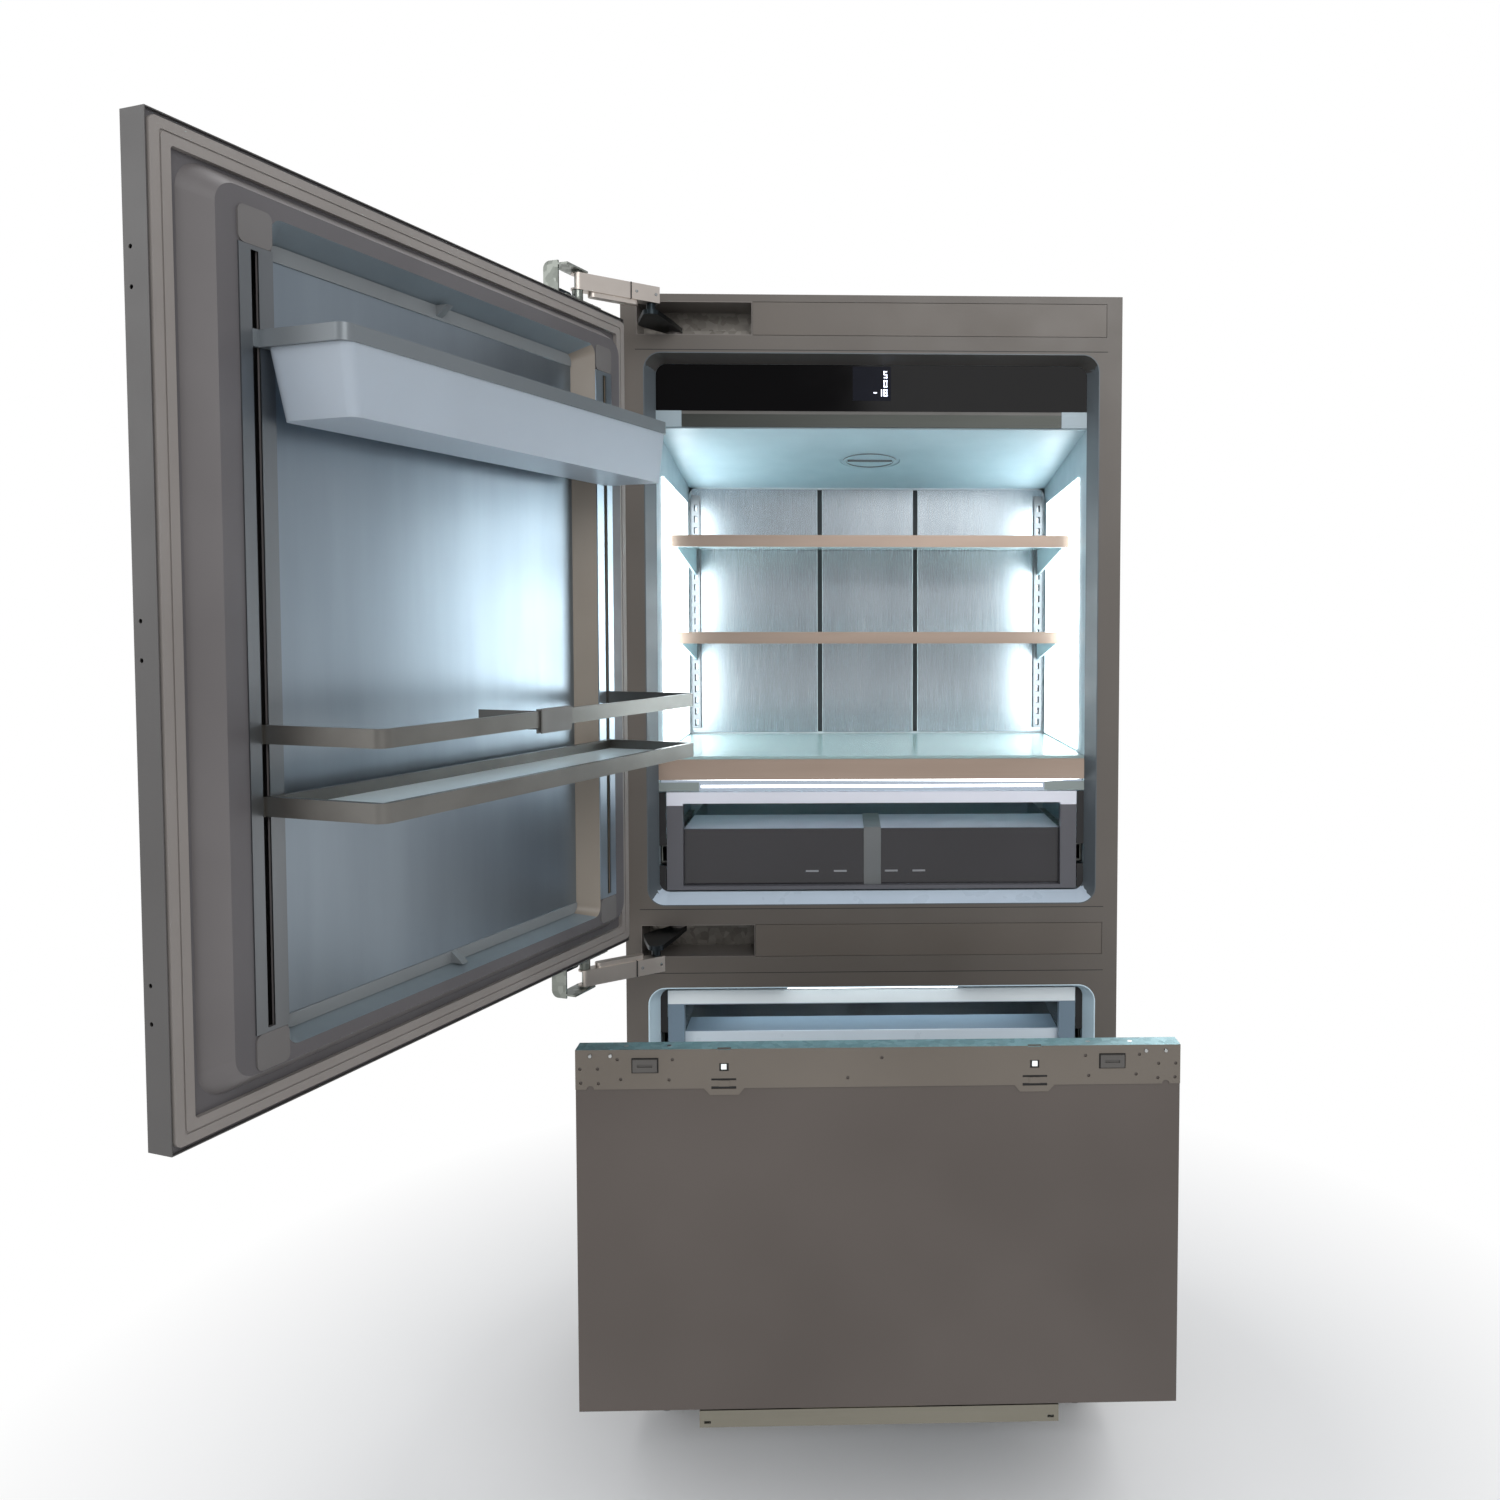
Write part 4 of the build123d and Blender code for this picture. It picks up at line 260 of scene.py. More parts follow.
# Mouths of the liners: the liner's own plastic, painted darker on the fridge's mouth and darkest under its
# head, lighter on its upward foot and on the freezer's mouth: painted light and shade.
MOUTH_PAINTED_SHADE = moulded("liner_mouth_painted_shade", (86, 93, 98), 0.34)
MOUTH_HEAD_PAINTED_SHADE = moulded("liner_mouth_head_painted_shade", (64, 62, 60), 0.5)
FREEZER_MOUTH_PAINTED_LIGHT = moulded("freezer_mouth_painted_light", (212, 234, 245), 0.34)
MOUTH_FOOT_PAINTED_LIGHT = moulded("liner_mouth_foot_painted_light", (188, 202, 216), 0.3)
CEILING = moulded("ceiling_plastic", (166, 184, 192), 0.4)
DOOR_LINER = moulded("door_liner_grey", (91, 88, 90), 0.42)
# Slopes and recess faces of the door's liner: the liner's own moulded plastic, painted lighter as painted
# light.
LINER_BEVEL_PAINTED_LIGHT = moulded("door_liner_bevel_painted_light", (104, 100, 100), 0.4)
RECESS_SIDE_PAINTED_LIGHT = moulded("door_recess_side_painted_light", (142, 132, 120), 0.4)
RECESS_END_PAINTED_LIGHT = moulded("door_recess_end_painted_light", (122, 132, 138), 0.38)
FRONT_LINER = moulded("front_liner_grey", (128, 130, 134), 0.42)
RUBBER = moulded("seal_rubber", (138, 132, 128), 0.62, 700.0)
STEEL_WALL = brushed("brushed_wall", (174, 182, 188), "Z", 0.25, 4)
GROOVE = painted("slate_groove", (18, 23, 27), 0.4)
STEEL_DOOR = brushed("brushed_door", (144, 154, 163), "Z", 0.31, 4)
# Rails on the hinge side, painted lighter than the other rails: painted light.
RAIL_PAINTED_LIGHT = brushed("slotted_rail_painted_light", (182, 194, 204), "Z", 0.34, 4)
STRIP_DOOR = moulded("door_end_strip", (124, 128, 130), 0.38)
TRIM_X = brushed("brushed_trim", (170, 152, 139), "X", 0.34, 6)
TRIM_DOOR = brushed("brushed_rack", (115, 113, 109), "X", 0.36, 5, DOOR_OPEN)
RIM_DOOR = painted("bin_rim_silver", (118, 124, 128), 0.36, Metallic=0.35)
STRIP = brushed("brushed_strip", (70, 72, 69), "X", 0.36, 4)
RAIL = brushed("slotted_rail", (128, 131, 134), "Z", 0.35, 5)
RAIL_DOOR = brushed("slotted_door_rail", (128, 131, 134), "Z", 0.36, 5)
BLACK_GLASS = new_finish("black_glass", (8, 7, 8), 0.1, Specular_IOR_Level=0.08)
gloss(BLACK_GLASS, noise(BLACK_GLASS, scale=12.0), 0.06, 0.13)
BLACK = moulded("black_plastic", (24, 24, 26), 0.45)
GREY = moulded("grey_plastic", (120, 122, 124), 0.45)
DIVIDER = moulded("divider_plastic", (104, 103, 100), 0.42)
CORNER = moulded("corner_plastic", (106, 103, 102), 0.42)
# Light plastic of the duct covers, also used for the painted highlights along the back wall's grooves.
WHITE = moulded("light_plastic_and_painted_highlight", (205, 212, 216), 0.38)
PLATE = moulded("drawer_plate_plastic", (176, 178, 190), 0.4)
# Drawer frames' top bars painted very light for the lamp light falling on them from above: painted light.
# Below the bars the frames keep a darker colour.
DRAWER_FRAME_PAINTED_LIGHT = painted("drawer_frame_bar_painted_light", (236, 238, 248), 0.34)
two_tone(DRAWER_FRAME_PAINTED_LIGHT, DRAWER_BAR_FOOT, (92, 92, 98))
DRAWER_CLIP = moulded("drawer_clip", (112, 115, 116), 0.38)
FREEZER_BAR_PAINTED_LIGHT = painted("freezer_drawer_bar_painted_light", (242, 249, 252), 0.36)
two_tone(FREEZER_BAR_PAINTED_LIGHT, FREEZER_BAR_FOOT, (122, 142, 158))
GLASS = see_through("shelf_glass", (206, 230, 230), 0.22, 0.55, 1.45, 0.02)
RACK_PANE = see_through("rack_pane", (226, 240, 244), 0.3, 0.3, 1.45, 0.02)
SMOKED = see_through("smoked_pane", (58, 56, 62), 0.12, 0.5, 1.5)
MISTED = moulded("misted_pane", (228, 240, 249), 0.32, 260.0)
FROSTED = see_through("frosted_bin", (206, 216, 226), 0.4, 0.5, 1.45, 0.05)
CLEAR = see_through("clear_bin", (196, 204, 210), 0.18, 0.85, 1.45, 0.03)
LAMP = glowing("led_cover", (244, 252, 255), 6.0)
SMALL_LAMP = glowing("small_led_cover", (236, 247, 255), 4.0)
LAMP_OFF = moulded("lamp_off", (96, 94, 90), 0.4)
BAR_LAMP = glowing("bar_lamp_face", (150, 160, 172), 0.55)
LAMP_CAP = moulded("lamp_bar_cap", (148, 158, 156), 0.4)
SCREEN = glowing("display_screen", (8, 10, 20), 0.5, 0.3)
shader_of(SCREEN).inputs["Specular IOR Level"].default_value = 0.08
DIGIT = glowing("display_digit", (235, 240, 255), 2.0)
PALE_MARK = moulded("pale_mark", (150, 152, 156), 0.5)
POCKET = painted("pocket_zinc", (118, 112, 108), 0.42, Metallic=0.4)
POCKET_BLOCK = zinc("spring_block", (120, 116, 110), 0.42)
ZINC_BRIGHT = zinc("hinge_zinc", (134, 138, 132), 0.4)
HINGE_ARM = brushed("hinge_arm_steel", (204, 195, 187), "X", 0.42, 4, DOOR_OPEN)
HINGE_DARK = new_finish("hinge_dark_steel", (44, 50, 53), 0.36, 1.0)
shade(HINGE_DARK, noise(HINGE_DARK, scale=14.0), (38, 44, 47), (54, 60, 64))
BRACKET = painted("bracket_plate", (112, 105, 97), 0.36, Metallic=0.5)
LOWER_RAIL = brushed("lower_rail_steel", (140, 136, 124), "X", 0.4, 5)
FLANGE = zinc("bracket_flange", (142, 176, 182), 0.5, 0.03)
SHELF_SIDE = moulded("shelf_side_metal", (176, 196, 204), 0.4)
ADJUSTER = moulded("adjuster_plastic", (84, 81, 78), 0.45)
# White catches made to glow: painted light, they are no lamps.
WHITE_DOT_PAINTED_GLOW = glowing("white_backing_painted_glow", (230, 236, 235), 0.5)
SCREW = zinc("screw_zinc", (178, 180, 180), 0.3)
ALUMINIUM = brushed("fin_aluminium", (190, 192, 194), "X", 0.3, 8)
DARK_PAINT = painted("dark_paint", (36, 37, 40), 0.4)

NODE_FINISH = {
    "casing_wrap": CASING, "back_panel": REAR, "base_pan": REAR, "front_frame": TAUPE,
    "cover_strips": TAUPE_STRIP, "hinge_housings": POCKET, "fridge_liner": WALL, "freezer_liner": WALL,
    "control_panel": BLACK_GLASS, "front_trims": TRIM_X, "ceiling_cover": CEILING, "led_lamps": LAMP,
    "duct_covers": WHITE, "back_wall_panels": STEEL_WALL, "shelf_rails": RAIL, "shelf_frames": TRIM_X,
    "shelf_glasses": GLASS, "fixed_runners": ZINC_BRIGHT, "compressor": DARK_PAINT,
    "condenser": DARK_PAINT, "evaporators": ALUMINIUM, "feet": GREY, "toe_grille": TAUPE_FRONT,
    "mains_inlet": BLACK, "door_shell": DOOR_SKIN, "door_liner": DOOR_LINER, "door_gasket": RUBBER,
    "door_inner_panel": STEEL_DOOR, "door_rails": RAIL_DOOR, "door_bin": FROSTED,
    "door_bin_rim": RIM_DOOR, "door_rack": TRIM_DOOR, "rack_glass": RACK_PANE,
    "hinge_door_brackets": ZINC_BRIGHT, "bottle_divider": DIVIDER, "hinge_links": HINGE_DARK,
    "hinge_arms": HINGE_ARM, "freezer_front_panel": TAUPE_FRONT, "freezer_front_liner": FRONT_LINER,
    "freezer_front_gasket": RUBBER, "freezer_top_bracket": BRACKET, "panel_adjusters": ADJUSTER,
    "freezer_lower_rail": LOWER_RAIL, "freezer_basket": CLEAR, "front_drawer_runners": ZINC_BRIGHT,
    "front_middle_runners": ZINC_BRIGHT, "inner_drawer_frame": FREEZER_BAR_PAINTED_LIGHT,
    "inner_drawer_window": MISTED, "inner_drawer_bin": CLEAR, "inner_drawer_runners": ZINC_BRIGHT,
    "inner_middle_runners": ZINC_BRIGHT, "fresh_drawer_frame": DRAWER_FRAME_PAINTED_LIGHT,
    "fresh_drawer_window": SMOKED, "fresh_drawer_bin": CLEAR, "fresh_drawer_lid": PLATE,
    "fresh_drawer_runners": ZINC_BRIGHT, "fresh_middle_runners": ZINC_BRIGHT,
    "condenser_fan": BLACK, "freezer_fan": BLACK, "filter_cover": CEILING,
}
SMOOTH_EDGE = {
    "control_panel": 1.2, "front_trims": 1.0, "shelf_frames": 0.8, "shelf_glasses": 0.7,
    "door_rails": 0.4, "door_bin_rim": 1.0, "door_rack": 1.0, "rack_glass": 0.6,
    "freezer_front_panel": 0.5, "door_shell": 0.5, "fresh_drawer_frame": 1.4,
    "inner_drawer_frame": 1.4, "fresh_drawer_lid": 0.6, "bottle_divider": 0.6,
    "freezer_top_bracket": 0.4, "casing_wrap": 0.4, "door_bin": 0.6, "door_liner": 0.8,
    "filter_cover": 0.8, "front_frame": 0.4, "cover_strips": 0.4, "hinge_arms": 0.5,
    "hinge_links": 0.6, "feet": 1.0, "door_gasket": 1.6, "freezer_front_gasket": 1.6,
    "freezer_front_liner": 1.0, "compressor": 1.0, "fridge_liner": 0.8, "freezer_liner": 0.8,
    "ceiling_cover": 0.6, "hinge_door_brackets": 0.4, "freezer_lower_rail": 0.4, "led_lamps": 0.4,
    "panel_adjusters": 0.8, "hinge_housings": 0.3,
}
SHARP_ANGLE = math.radians(40)


def dress(node, mat):
    """Give a CAD node its finish and softly rounded edges."""
    obj = NODES[node]
    obj.data.materials.clear()
    obj.data.materials.append(mat)
    for face in obj.data.polygons:
        face.material_index = 0
    width = SMOOTH_EDGE.get(node)
    if width:
        bevel = obj.modifiers.new("edges", "BEVEL")
        bevel.width = width * MM
        bevel.segments = 2
        bevel.limit_method = "ANGLE"
        bevel.angle_limit = SHARP_ANGLE
        bevel.harden_normals = False


for node, mat in NODE_FINISH.items():
    dress(node, mat)


# Second finishes on some of a node's faces, told by a face's middle c and normal n

FRAME_SKIN = 0.002
SPRING_BLOCK_Y = 0.03
HEAD_TRIM_Z = 1.7
HEAD_TRIM_HALF = 0.3492
LAMP_CAP_H = 0.017
LAMP_CAP_IN = 0.32
CEILING_LAMP_Z = 1.9
BAR_LAMP_Z = 1.24
MOUTH_DEPTH = 0.0285
MOUTH_RIM = 0.03
RAIL_CORNER_H = 0.0412
RECESS_SLACK = 0.02
END_STRIP_H = 0.0225
HINGE_SIDE_Y = -0.4
FLANGE_Z = 0.8985
CLIP_HALF = 0.03


def paint_where(node, mat, test):
    """A second finish on the faces of a node whose middle passes the test."""
    mesh = NODES[node].data
    mesh.materials.append(mat)
    index = len(mesh.materials) - 1
    for face in mesh.polygons:
        if test(face.center, face.normal):
            face.material_index = index


def unturned(v):
    """A direction on the open door, as it is with the door closed."""
    return Matrix.Rotation(DOOR_OPEN, 3, "Z") @ v


def paint_cabinet():
    """The casing's front edge, the spring blocks, and the parts of the trims and lamps."""
    paint_where("casing_wrap", TAUPE, lambda c, n: c.y < FRAME_SKIN)
    paint_where("hinge_housings", POCKET_BLOCK, lambda c, n: c.y > SPRING_BLOCK_Y and abs(n.y) > 0.5)
    cap_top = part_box("front_trims")[0].z + LAMP_CAP_H
    paint_where("front_trims", STRIP, lambda c, n: c.z > HEAD_TRIM_Z)
    paint_where("front_trims", WALL, lambda c, n: c.z > HEAD_TRIM_Z and abs(c.x) > HEAD_TRIM_HALF)
    paint_where("front_trims", LAMP_CAP, lambda c, n: c.z < cap_top and abs(c.x) > LAMP_CAP_IN)
    paint_where("led_lamps", LAMP_OFF, lambda c, n: c.z > CEILING_LAMP_Z)
    paint_where("led_lamps", BAR_LAMP, lambda c, n: c.z < BAR_LAMP_Z)
    paint_where("filter_cover", GREY, lambda c, n: abs(n.z) < 0.5)


def paint_rooms():
    """The flared mouths of both liners in painted light and shade (the fridge's mouth darker, lighter at
    its foot and darkest at its head, the freezer's mouth lighter), the shelves' sides, and the runners'
    front ends painted dark as painted shade.
    """
    low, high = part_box("fridge_liner")
    foot, head = low.z + MOUTH_RIM, high.z - MOUTH_RIM
    # Painted shade on the fridge's mouth and under its head, painted light on its foot and on the
    # freezer's mouth.
    paint_where("fridge_liner", MOUTH_PAINTED_SHADE, lambda c, n: c.y < MOUTH_DEPTH)
    paint_where("fridge_liner", MOUTH_FOOT_PAINTED_LIGHT, lambda c, n: c.y < MOUTH_DEPTH and n.z > 0.5 and c.z < foot)
    paint_where("fridge_liner", MOUTH_HEAD_PAINTED_SHADE, lambda c, n: c.y < MOUTH_DEPTH and c.z > head and n.z < -0.3)
    paint_where("freezer_liner", FREEZER_MOUTH_PAINTED_LIGHT, lambda c, n: c.y < MOUTH_DEPTH)
    paint_where("shelf_frames", SHELF_SIDE, lambda c, n: abs(n.y) < 0.5)
    # The runners' front faces painted dark: painted shade in the gaps beside the drawers.
    for runners in ("fixed_runners", "fresh_drawer_runners", "inner_drawer_runners"):
        paint_where(runners, SEAM_AND_SHADE, lambda c, n: n.y < -0.5)
    paint_where("fresh_drawer_frame", DRAWER_CLIP, lambda c, n: abs(c.x) < CLIP_HALF)


def paint_door():
    """The rails' corner pieces, painted light on the hinge-side rails and on the liner's slopes and recess
    faces, and the inner panel's end strips.
    """
    rail_low, rail_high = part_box("door_rails")
    foot, head = rail_low.z + RAIL_CORNER_H, rail_high.z - RAIL_CORNER_H
    paint_where("door_rails", CORNER, lambda c, n: c.z < foot or c.z > head)
    # Painted light: the hinge-side rails lighter.
    paint_where("door_rails", RAIL_PAINTED_LIGHT, lambda c, n: c.y > HINGE_SIDE_Y and foot < c.z < head)
    low, high = (corner.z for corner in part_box("door_inner_panel"))
    # Painted light: the liner's slopes and recess faces lighter than its flat face.
    paint_where("door_liner", LINER_BEVEL_PAINTED_LIGHT, lambda c, n: abs(unturned(n).x) > 0.3 or abs(n.z) > 0.3)
    paint_where("door_liner", RECESS_END_PAINTED_LIGHT, lambda c, n: n.z > 0.3 and c.z < low + RECESS_SLACK)
    paint_where("door_liner", RECESS_END_PAINTED_LIGHT, lambda c, n: n.z < -0.3 and c.z > high - RECESS_SLACK)
    paint_where("door_liner", RECESS_SIDE_PAINTED_LIGHT, lambda c, n: unturned(n).x > 0.3 and c.y > HINGE_SIDE_Y)
    strips = (low + END_STRIP_H, high - END_STRIP_H)
    paint_where("door_inner_panel", STRIP_DOOR, lambda c, n: c.z < strips[0] or c.z > strips[1])


paint_cabinet()
paint_rooms()
paint_door()
paint_where("freezer_top_bracket", FLANGE, lambda c, n: n.z > 0.7 and c.z > FLANGE_Z)


# Tools for the pieces of the looks

def piece(name, body, bm, mat):
    """A finished mesh that rides on a body."""
    mesh = bpy.data.meshes.new(name)
    bm.to_mesh(mesh)
    bm.free()
    mesh.materials.append(mat)
    obj = bpy.data.objects.new(name, mesh)
    bpy.context.scene.collection.objects.link(obj)
    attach(obj, body)


def add_plate(bm, low, high, rim=0.0, place=Matrix.Identity(4)):
    """Add a block between two corners to a mesh, its edges rounded by rim."""
    low, high = Vector(low), Vector(high)
    size = high - low
    at = Matrix.Translation((low + high) / 2) @ Matrix.Diagonal((*size, 1.0))
    verts = bmesh.ops.create_cube(bm, size=1.0)["verts"]
    bmesh.ops.transform(bm, matrix=place @ at, verts=verts)
    if rim:
        edges = list({edge for vert in verts for edge in vert.link_edges})
        bmesh.ops.bevel(bm, geom=edges, offset=rim, segments=2, affect="EDGES", profile=0.6)


def add_pin(bm, centre, radius, height, towards, place=Matrix.Identity(4)):
    """Add a small round head to a mesh, looking along an axis, its end a little narrower."""
    spin = Vector(towards).to_track_quat("Z", "Y").to_matrix().to_4x4()
    tip = radius * 0.8
    made = bmesh.ops.create_cone(bm, cap_ends=True, segments=20, radius1=radius, radius2=tip, depth=height)
    bmesh.ops.transform(bm, matrix=place @ Matrix.Translation(centre) @ spin, verts=made["verts"])


def both_sides(start, end):
    """The same stretch of x on the left and on the right, each from low to high."""
    return [sorted((side * start, side * end)) for side in (-1, 1)]


def door_place():
    """Matrix from the door's own coordinates (s, n, z) to where it stands open."""
    hinge = JOINTS["door_hinge"]["pos_m"]
    pivot = Matrix.Translation((hinge[0], hinge[1], 0.0))
    turn = Matrix.Rotation(-DOOR_OPEN, 4, "Z")
    corner = Matrix.Translation((DOOR_CORNER[0], DOOR_CORNER[1], 0.0))
    return pivot @ turn @ pivot.inverted() @ corner


# Control panel

GLOW_T = 0.0004
SCREEN_X = (-0.036, 0.034)
SCREEN_Z = (1.9415, 2.0035)
SCREEN_SUNK = 0.001
SCREEN_RIM = 0.0001
FIGURES = ("5", "0", "-18")
FIGURE_RIGHT = 0.027
FIGURE_TOP = 1.9825
FIGURE_STEP = 0.0165
FIGURE_H = 0.0125
FIGURE_W = FIGURE_H * 0.5
FIGURE_BAR = FIGURE_H * 0.14
FIGURE_GAP = FIGURE_W * 0.5
LIT_BARS = {"0": "abcdef", "5": "acdfg", "1": "bc", "8": "abcdefg", "-": "g"}


def digits(bm, text, right, base, y):
    """Seven-segment figures drawn as small bars on a front face, ending at a right edge."""
    w, h, bar = FIGURE_W, FIGURE_H, FIGURE_BAR
    bars = {
        "a": ((0, h - bar), (w, h)),
        "b": ((w - bar, h / 2), (w, h)),
        "c": ((w - bar, 0), (w, h / 2)),
        "d": ((0, 0), (w, bar)),
        "e": ((0, 0), (bar, h / 2)),
        "f": ((0, h / 2), (bar, h)),
        "g": ((0, (h - bar) / 2), (w, (h + bar) / 2)),
    }
    left = right + FIGURE_GAP - len(text) * (w + FIGURE_GAP)
    for sign in text:
        for key in LIT_BARS[sign]:
            (x0, z0), (x1, z1) = bars[key]
            add_plate(bm, (left + x0, y - GLOW_T, base + z0), (left + x1, y, base + z1))
        left += w + FIGURE_GAP


def display():
    """Dark screen behind the fascia, with a figure for each zone."""
    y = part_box("control_panel")[0].y
    bm = bmesh.new()
    low = (SCREEN_X[0], y - GLOW_T, SCREEN_Z[0])
    high = (SCREEN_X[1], y + SCREEN_SUNK, SCREEN_Z[1])
    add_plate(bm, low, high, SCREEN_RIM)
    piece("display_screen", "cabinet", bm, SCREEN)
    bm = bmesh.new()
    for row, text in enumerate(FIGURES):
        digits(bm, text, FIGURE_RIGHT, FIGURE_TOP - row * FIGURE_STEP, y - GLOW_T)
    piece("display_figures", "cabinet", bm, DIGIT)


# Front frame and back wall

SEAM_HEIGHTS = (2.026, 1.008, 0.889)
SEAM_HALF = 0.0006
SEAM_PROUD = 0.00015
SEAM_SUNK = 0.0005
GROOVE_X = (0.1006, 0.1119)
GROOVE_BACK = 0.0002
GROOVE_T = 0.001
GROOVE_END = 0.001
GROOVE_EDGE = 0.0006
GROOVE_EDGE_T = 0.0004


def frame_seams():
    """Dark joints between the frame's parts, and the shadow gap under the head."""
    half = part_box("front_frame")[1].x
    bm = bmesh.new()
    for z in SEAM_HEIGHTS:
        add_plate(bm, (-half, -SEAM_PROUD, z - SEAM_HALF), (half, SEAM_SUNK, z + SEAM_HALF))
    piece("frame_seams", "cabinet", bm, SEAM_AND_SHADE)


def wall_grooves():
    """Slate strips in the joints between the back wall's brushed panels, with pale lines on their edges as
    painted highlights.
    """
    low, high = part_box("back_wall_panels")
    foot, head = low.z + GROOVE_END, high.z - GROOVE_END
    back = high.y - GROOVE_BACK
    dark, pale = bmesh.new(), bmesh.new()
    for x in both_sides(*GROOVE_X):
        add_plate(dark, (x[0], back - GROOVE_T, foot), (x[1], back, head))
        for edge in x:
            near_corner = (edge - GROOVE_EDGE, low.y - GROOVE_EDGE_T, foot)
            far_corner = (edge + GROOVE_EDGE, low.y + GROOVE_EDGE_T, head)
            add_plate(pale, near_corner, far_corner)
    piece("wall_grooves", "cabinet", dark, GROOVE)
    piece("wall_groove_painted_highlights", "cabinet", pale, WHITE)


# Lamps that show by their light

MOUTH_LAMP_HALF = 0.158
MOUTH_LAMP_Y = (0.010, 0.022)
MOUTH_LAMP_DOWN = (0.0065, 0.0045)
ROOM_LAMP_HALF = 0.30
ROOM_LAMP_Y = (0.110, 0.150)
ROOM_LAMP_DOWN = (0.0115, 0.0105)
DRAWER_LAMP_HALF = 0.30
DRAWER_LAMP_Y = (0.055, 0.070)
DRAWER_LAMP_DOWN = (0.012, 0.010)
LAMP_LINE_HALF = 0.318
LAMP_LINE_UP = (0.0065, 0.011)
LAMP_LINE_Y = (-0.0003, 0.0005)
LAMP_LINE_RIM = 0.0001
LAMP_RIM = 0.0005
FLAT_LAMP_RIM = 0.0002


def add_lamp(bm, half, y, ceiling, down, rim):
    """Add a flat lamp under a ceiling, as wide to the left as to the right."""
    add_plate(bm, (-half, y[0], ceiling - down[0]), (half, y[1], ceiling - down[1]), rim)


def small_lamps():
    """Lamps over the freezer's mouth and behind the fresh drawer's bar."""
    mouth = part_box("freezer_liner")[1].z
    bm = bmesh.new()
    add_lamp(bm, MOUTH_LAMP_HALF, MOUTH_LAMP_Y, mouth, MOUTH_LAMP_DOWN, LAMP_RIM)
    add_lamp(bm, ROOM_LAMP_HALF, ROOM_LAMP_Y, mouth, ROOM_LAMP_DOWN, FLAT_LAMP_RIM)
    piece("freezer_lamp", "cabinet", bm, LAMP)
    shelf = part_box("shelf_glasses")[0].z
    bm = bmesh.new()
    add_lamp(bm, DRAWER_LAMP_HALF, DRAWER_LAMP_Y, shelf, DRAWER_LAMP_DOWN, LAMP_RIM)
    piece("drawer_lamp", "cabinet", bm, SMALL_LAMP)


def lamp_line():
    """Bright line of the lamp bar over the fresh drawer."""
    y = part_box("led_lamps")[0].y
    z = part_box("front_trims")[0].z
    low = (-LAMP_LINE_HALF, y + LAMP_LINE_Y[0], z + LAMP_LINE_UP[0])
    high = (LAMP_LINE_HALF, y + LAMP_LINE_Y[1], z + LAMP_LINE_UP[1])
    bm = bmesh.new()
    add_plate(bm, low, high, LAMP_LINE_RIM)
    piece("lamp_bar_line", "cabinet", bm, LAMP)


# Drawers in the cabinet

DRAWER_GAP = 0.0012
WALL_GAP = 0.0002
GAP_STRIP_Y = (0.0284, 0.0296)
RUNNER_GAP = 0.003
DRAWERS = (("fresh_drawer_frame", "fresh_middle_runners"), ("inner_drawer_frame", "inner_middle_runners"))
PANE_MARK_X = (-0.1127, -0.0602, 0.0357, 0.0875)
PANE_MARK_Z = (1.067, 1.0705)
PANE_MARK_HALF = 0.012
PANE_MARK_PROUD = 0.0003
PANE_MARK_SUNK = 0.0005


def side_gaps():
    """Dark strips beside both drawers, a dark seal and painted shade together, open where the runners
    pass.
    """
    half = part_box("fresh_drawer_frame")[1].x + DRAWER_GAP
    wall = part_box("led_lamps")[1].x - WALL_GAP
    bm = bmesh.new()
    for drawer, runners in DRAWERS:
        foot, head = (corner.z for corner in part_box(drawer))
        low, high = (corner.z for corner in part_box(runners))
        for z in ((foot, low - RUNNER_GAP), (high + RUNNER_GAP, head)):
            for x in both_sides(half, wall):
                add_plate(bm, (x[0], GAP_STRIP_Y[0], z[0]), (x[1], GAP_STRIP_Y[1], z[1]))
    piece("drawer_side_seal_and_shade", "cabinet", bm, SEAM_AND_SHADE)


def pane_marks():
    """Four short pale marks in the fresh drawer's pane."""
    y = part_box("fresh_drawer_window")[0].y
    bm = bmesh.new()
    for x in PANE_MARK_X:
        low = (x - PANE_MARK_HALF, y - PANE_MARK_PROUD, PANE_MARK_Z[0])
        high = (x + PANE_MARK_HALF, y + PANE_MARK_SUNK, PANE_MARK_Z[1])
        add_plate(bm, low, high)
    piece("pane_marks", "fresh_drawer", bm, PALE_MARK)


# Freezer front's bracket: slots are measured down from a top edge, rivets stand in the frame's own places

WIDE_SLOT_X = (0.210, 0.254)
WIDE_SLOT_DOWN = (0.066, 0.016)
ADJUSTER_X = (0.327, 0.371)
ADJUSTER_DOWN = (0.036, 0.009)
CATCH_X = (0.2285, 0.2365)
CATCH_DOWN = (0.030, 0.022)
CATCH_PROUD = 0.0008
GROUND_PROUD = 0.0003
GROUND_SUNK = 0.0002
TOP_RIVET_X = (-0.379, -0.315, 0.315, 0.379)
TOP_RIVET_Y = -0.4085
TOP_RIVET_SUNK = 0.0002
TOP_RIVET_SIZE = (0.0045, 0.0006)
FACE_RIVET_X = (-0.43, -0.40, 0.40, 0.43)
FACE_RIVET_Z = 0.8925
FACE_RIVET_PROUD = 0.0003
FACE_RIVET_SIZE = (0.003, 0.001)
TOP_SLOTS_EACH_SIDE = 2
TOP_SLOT_STEP = 0.1172
TOP_SLOT_HALF = 0.017
TOP_SLOT_Y = (-0.413, -0.4095)
END_SLOT_X = (0.418, 0.4515)
END_SLOT_Y = (-0.4225, -0.414)
TOP_SLOT_DOWN = (0.0002, 0.00005)


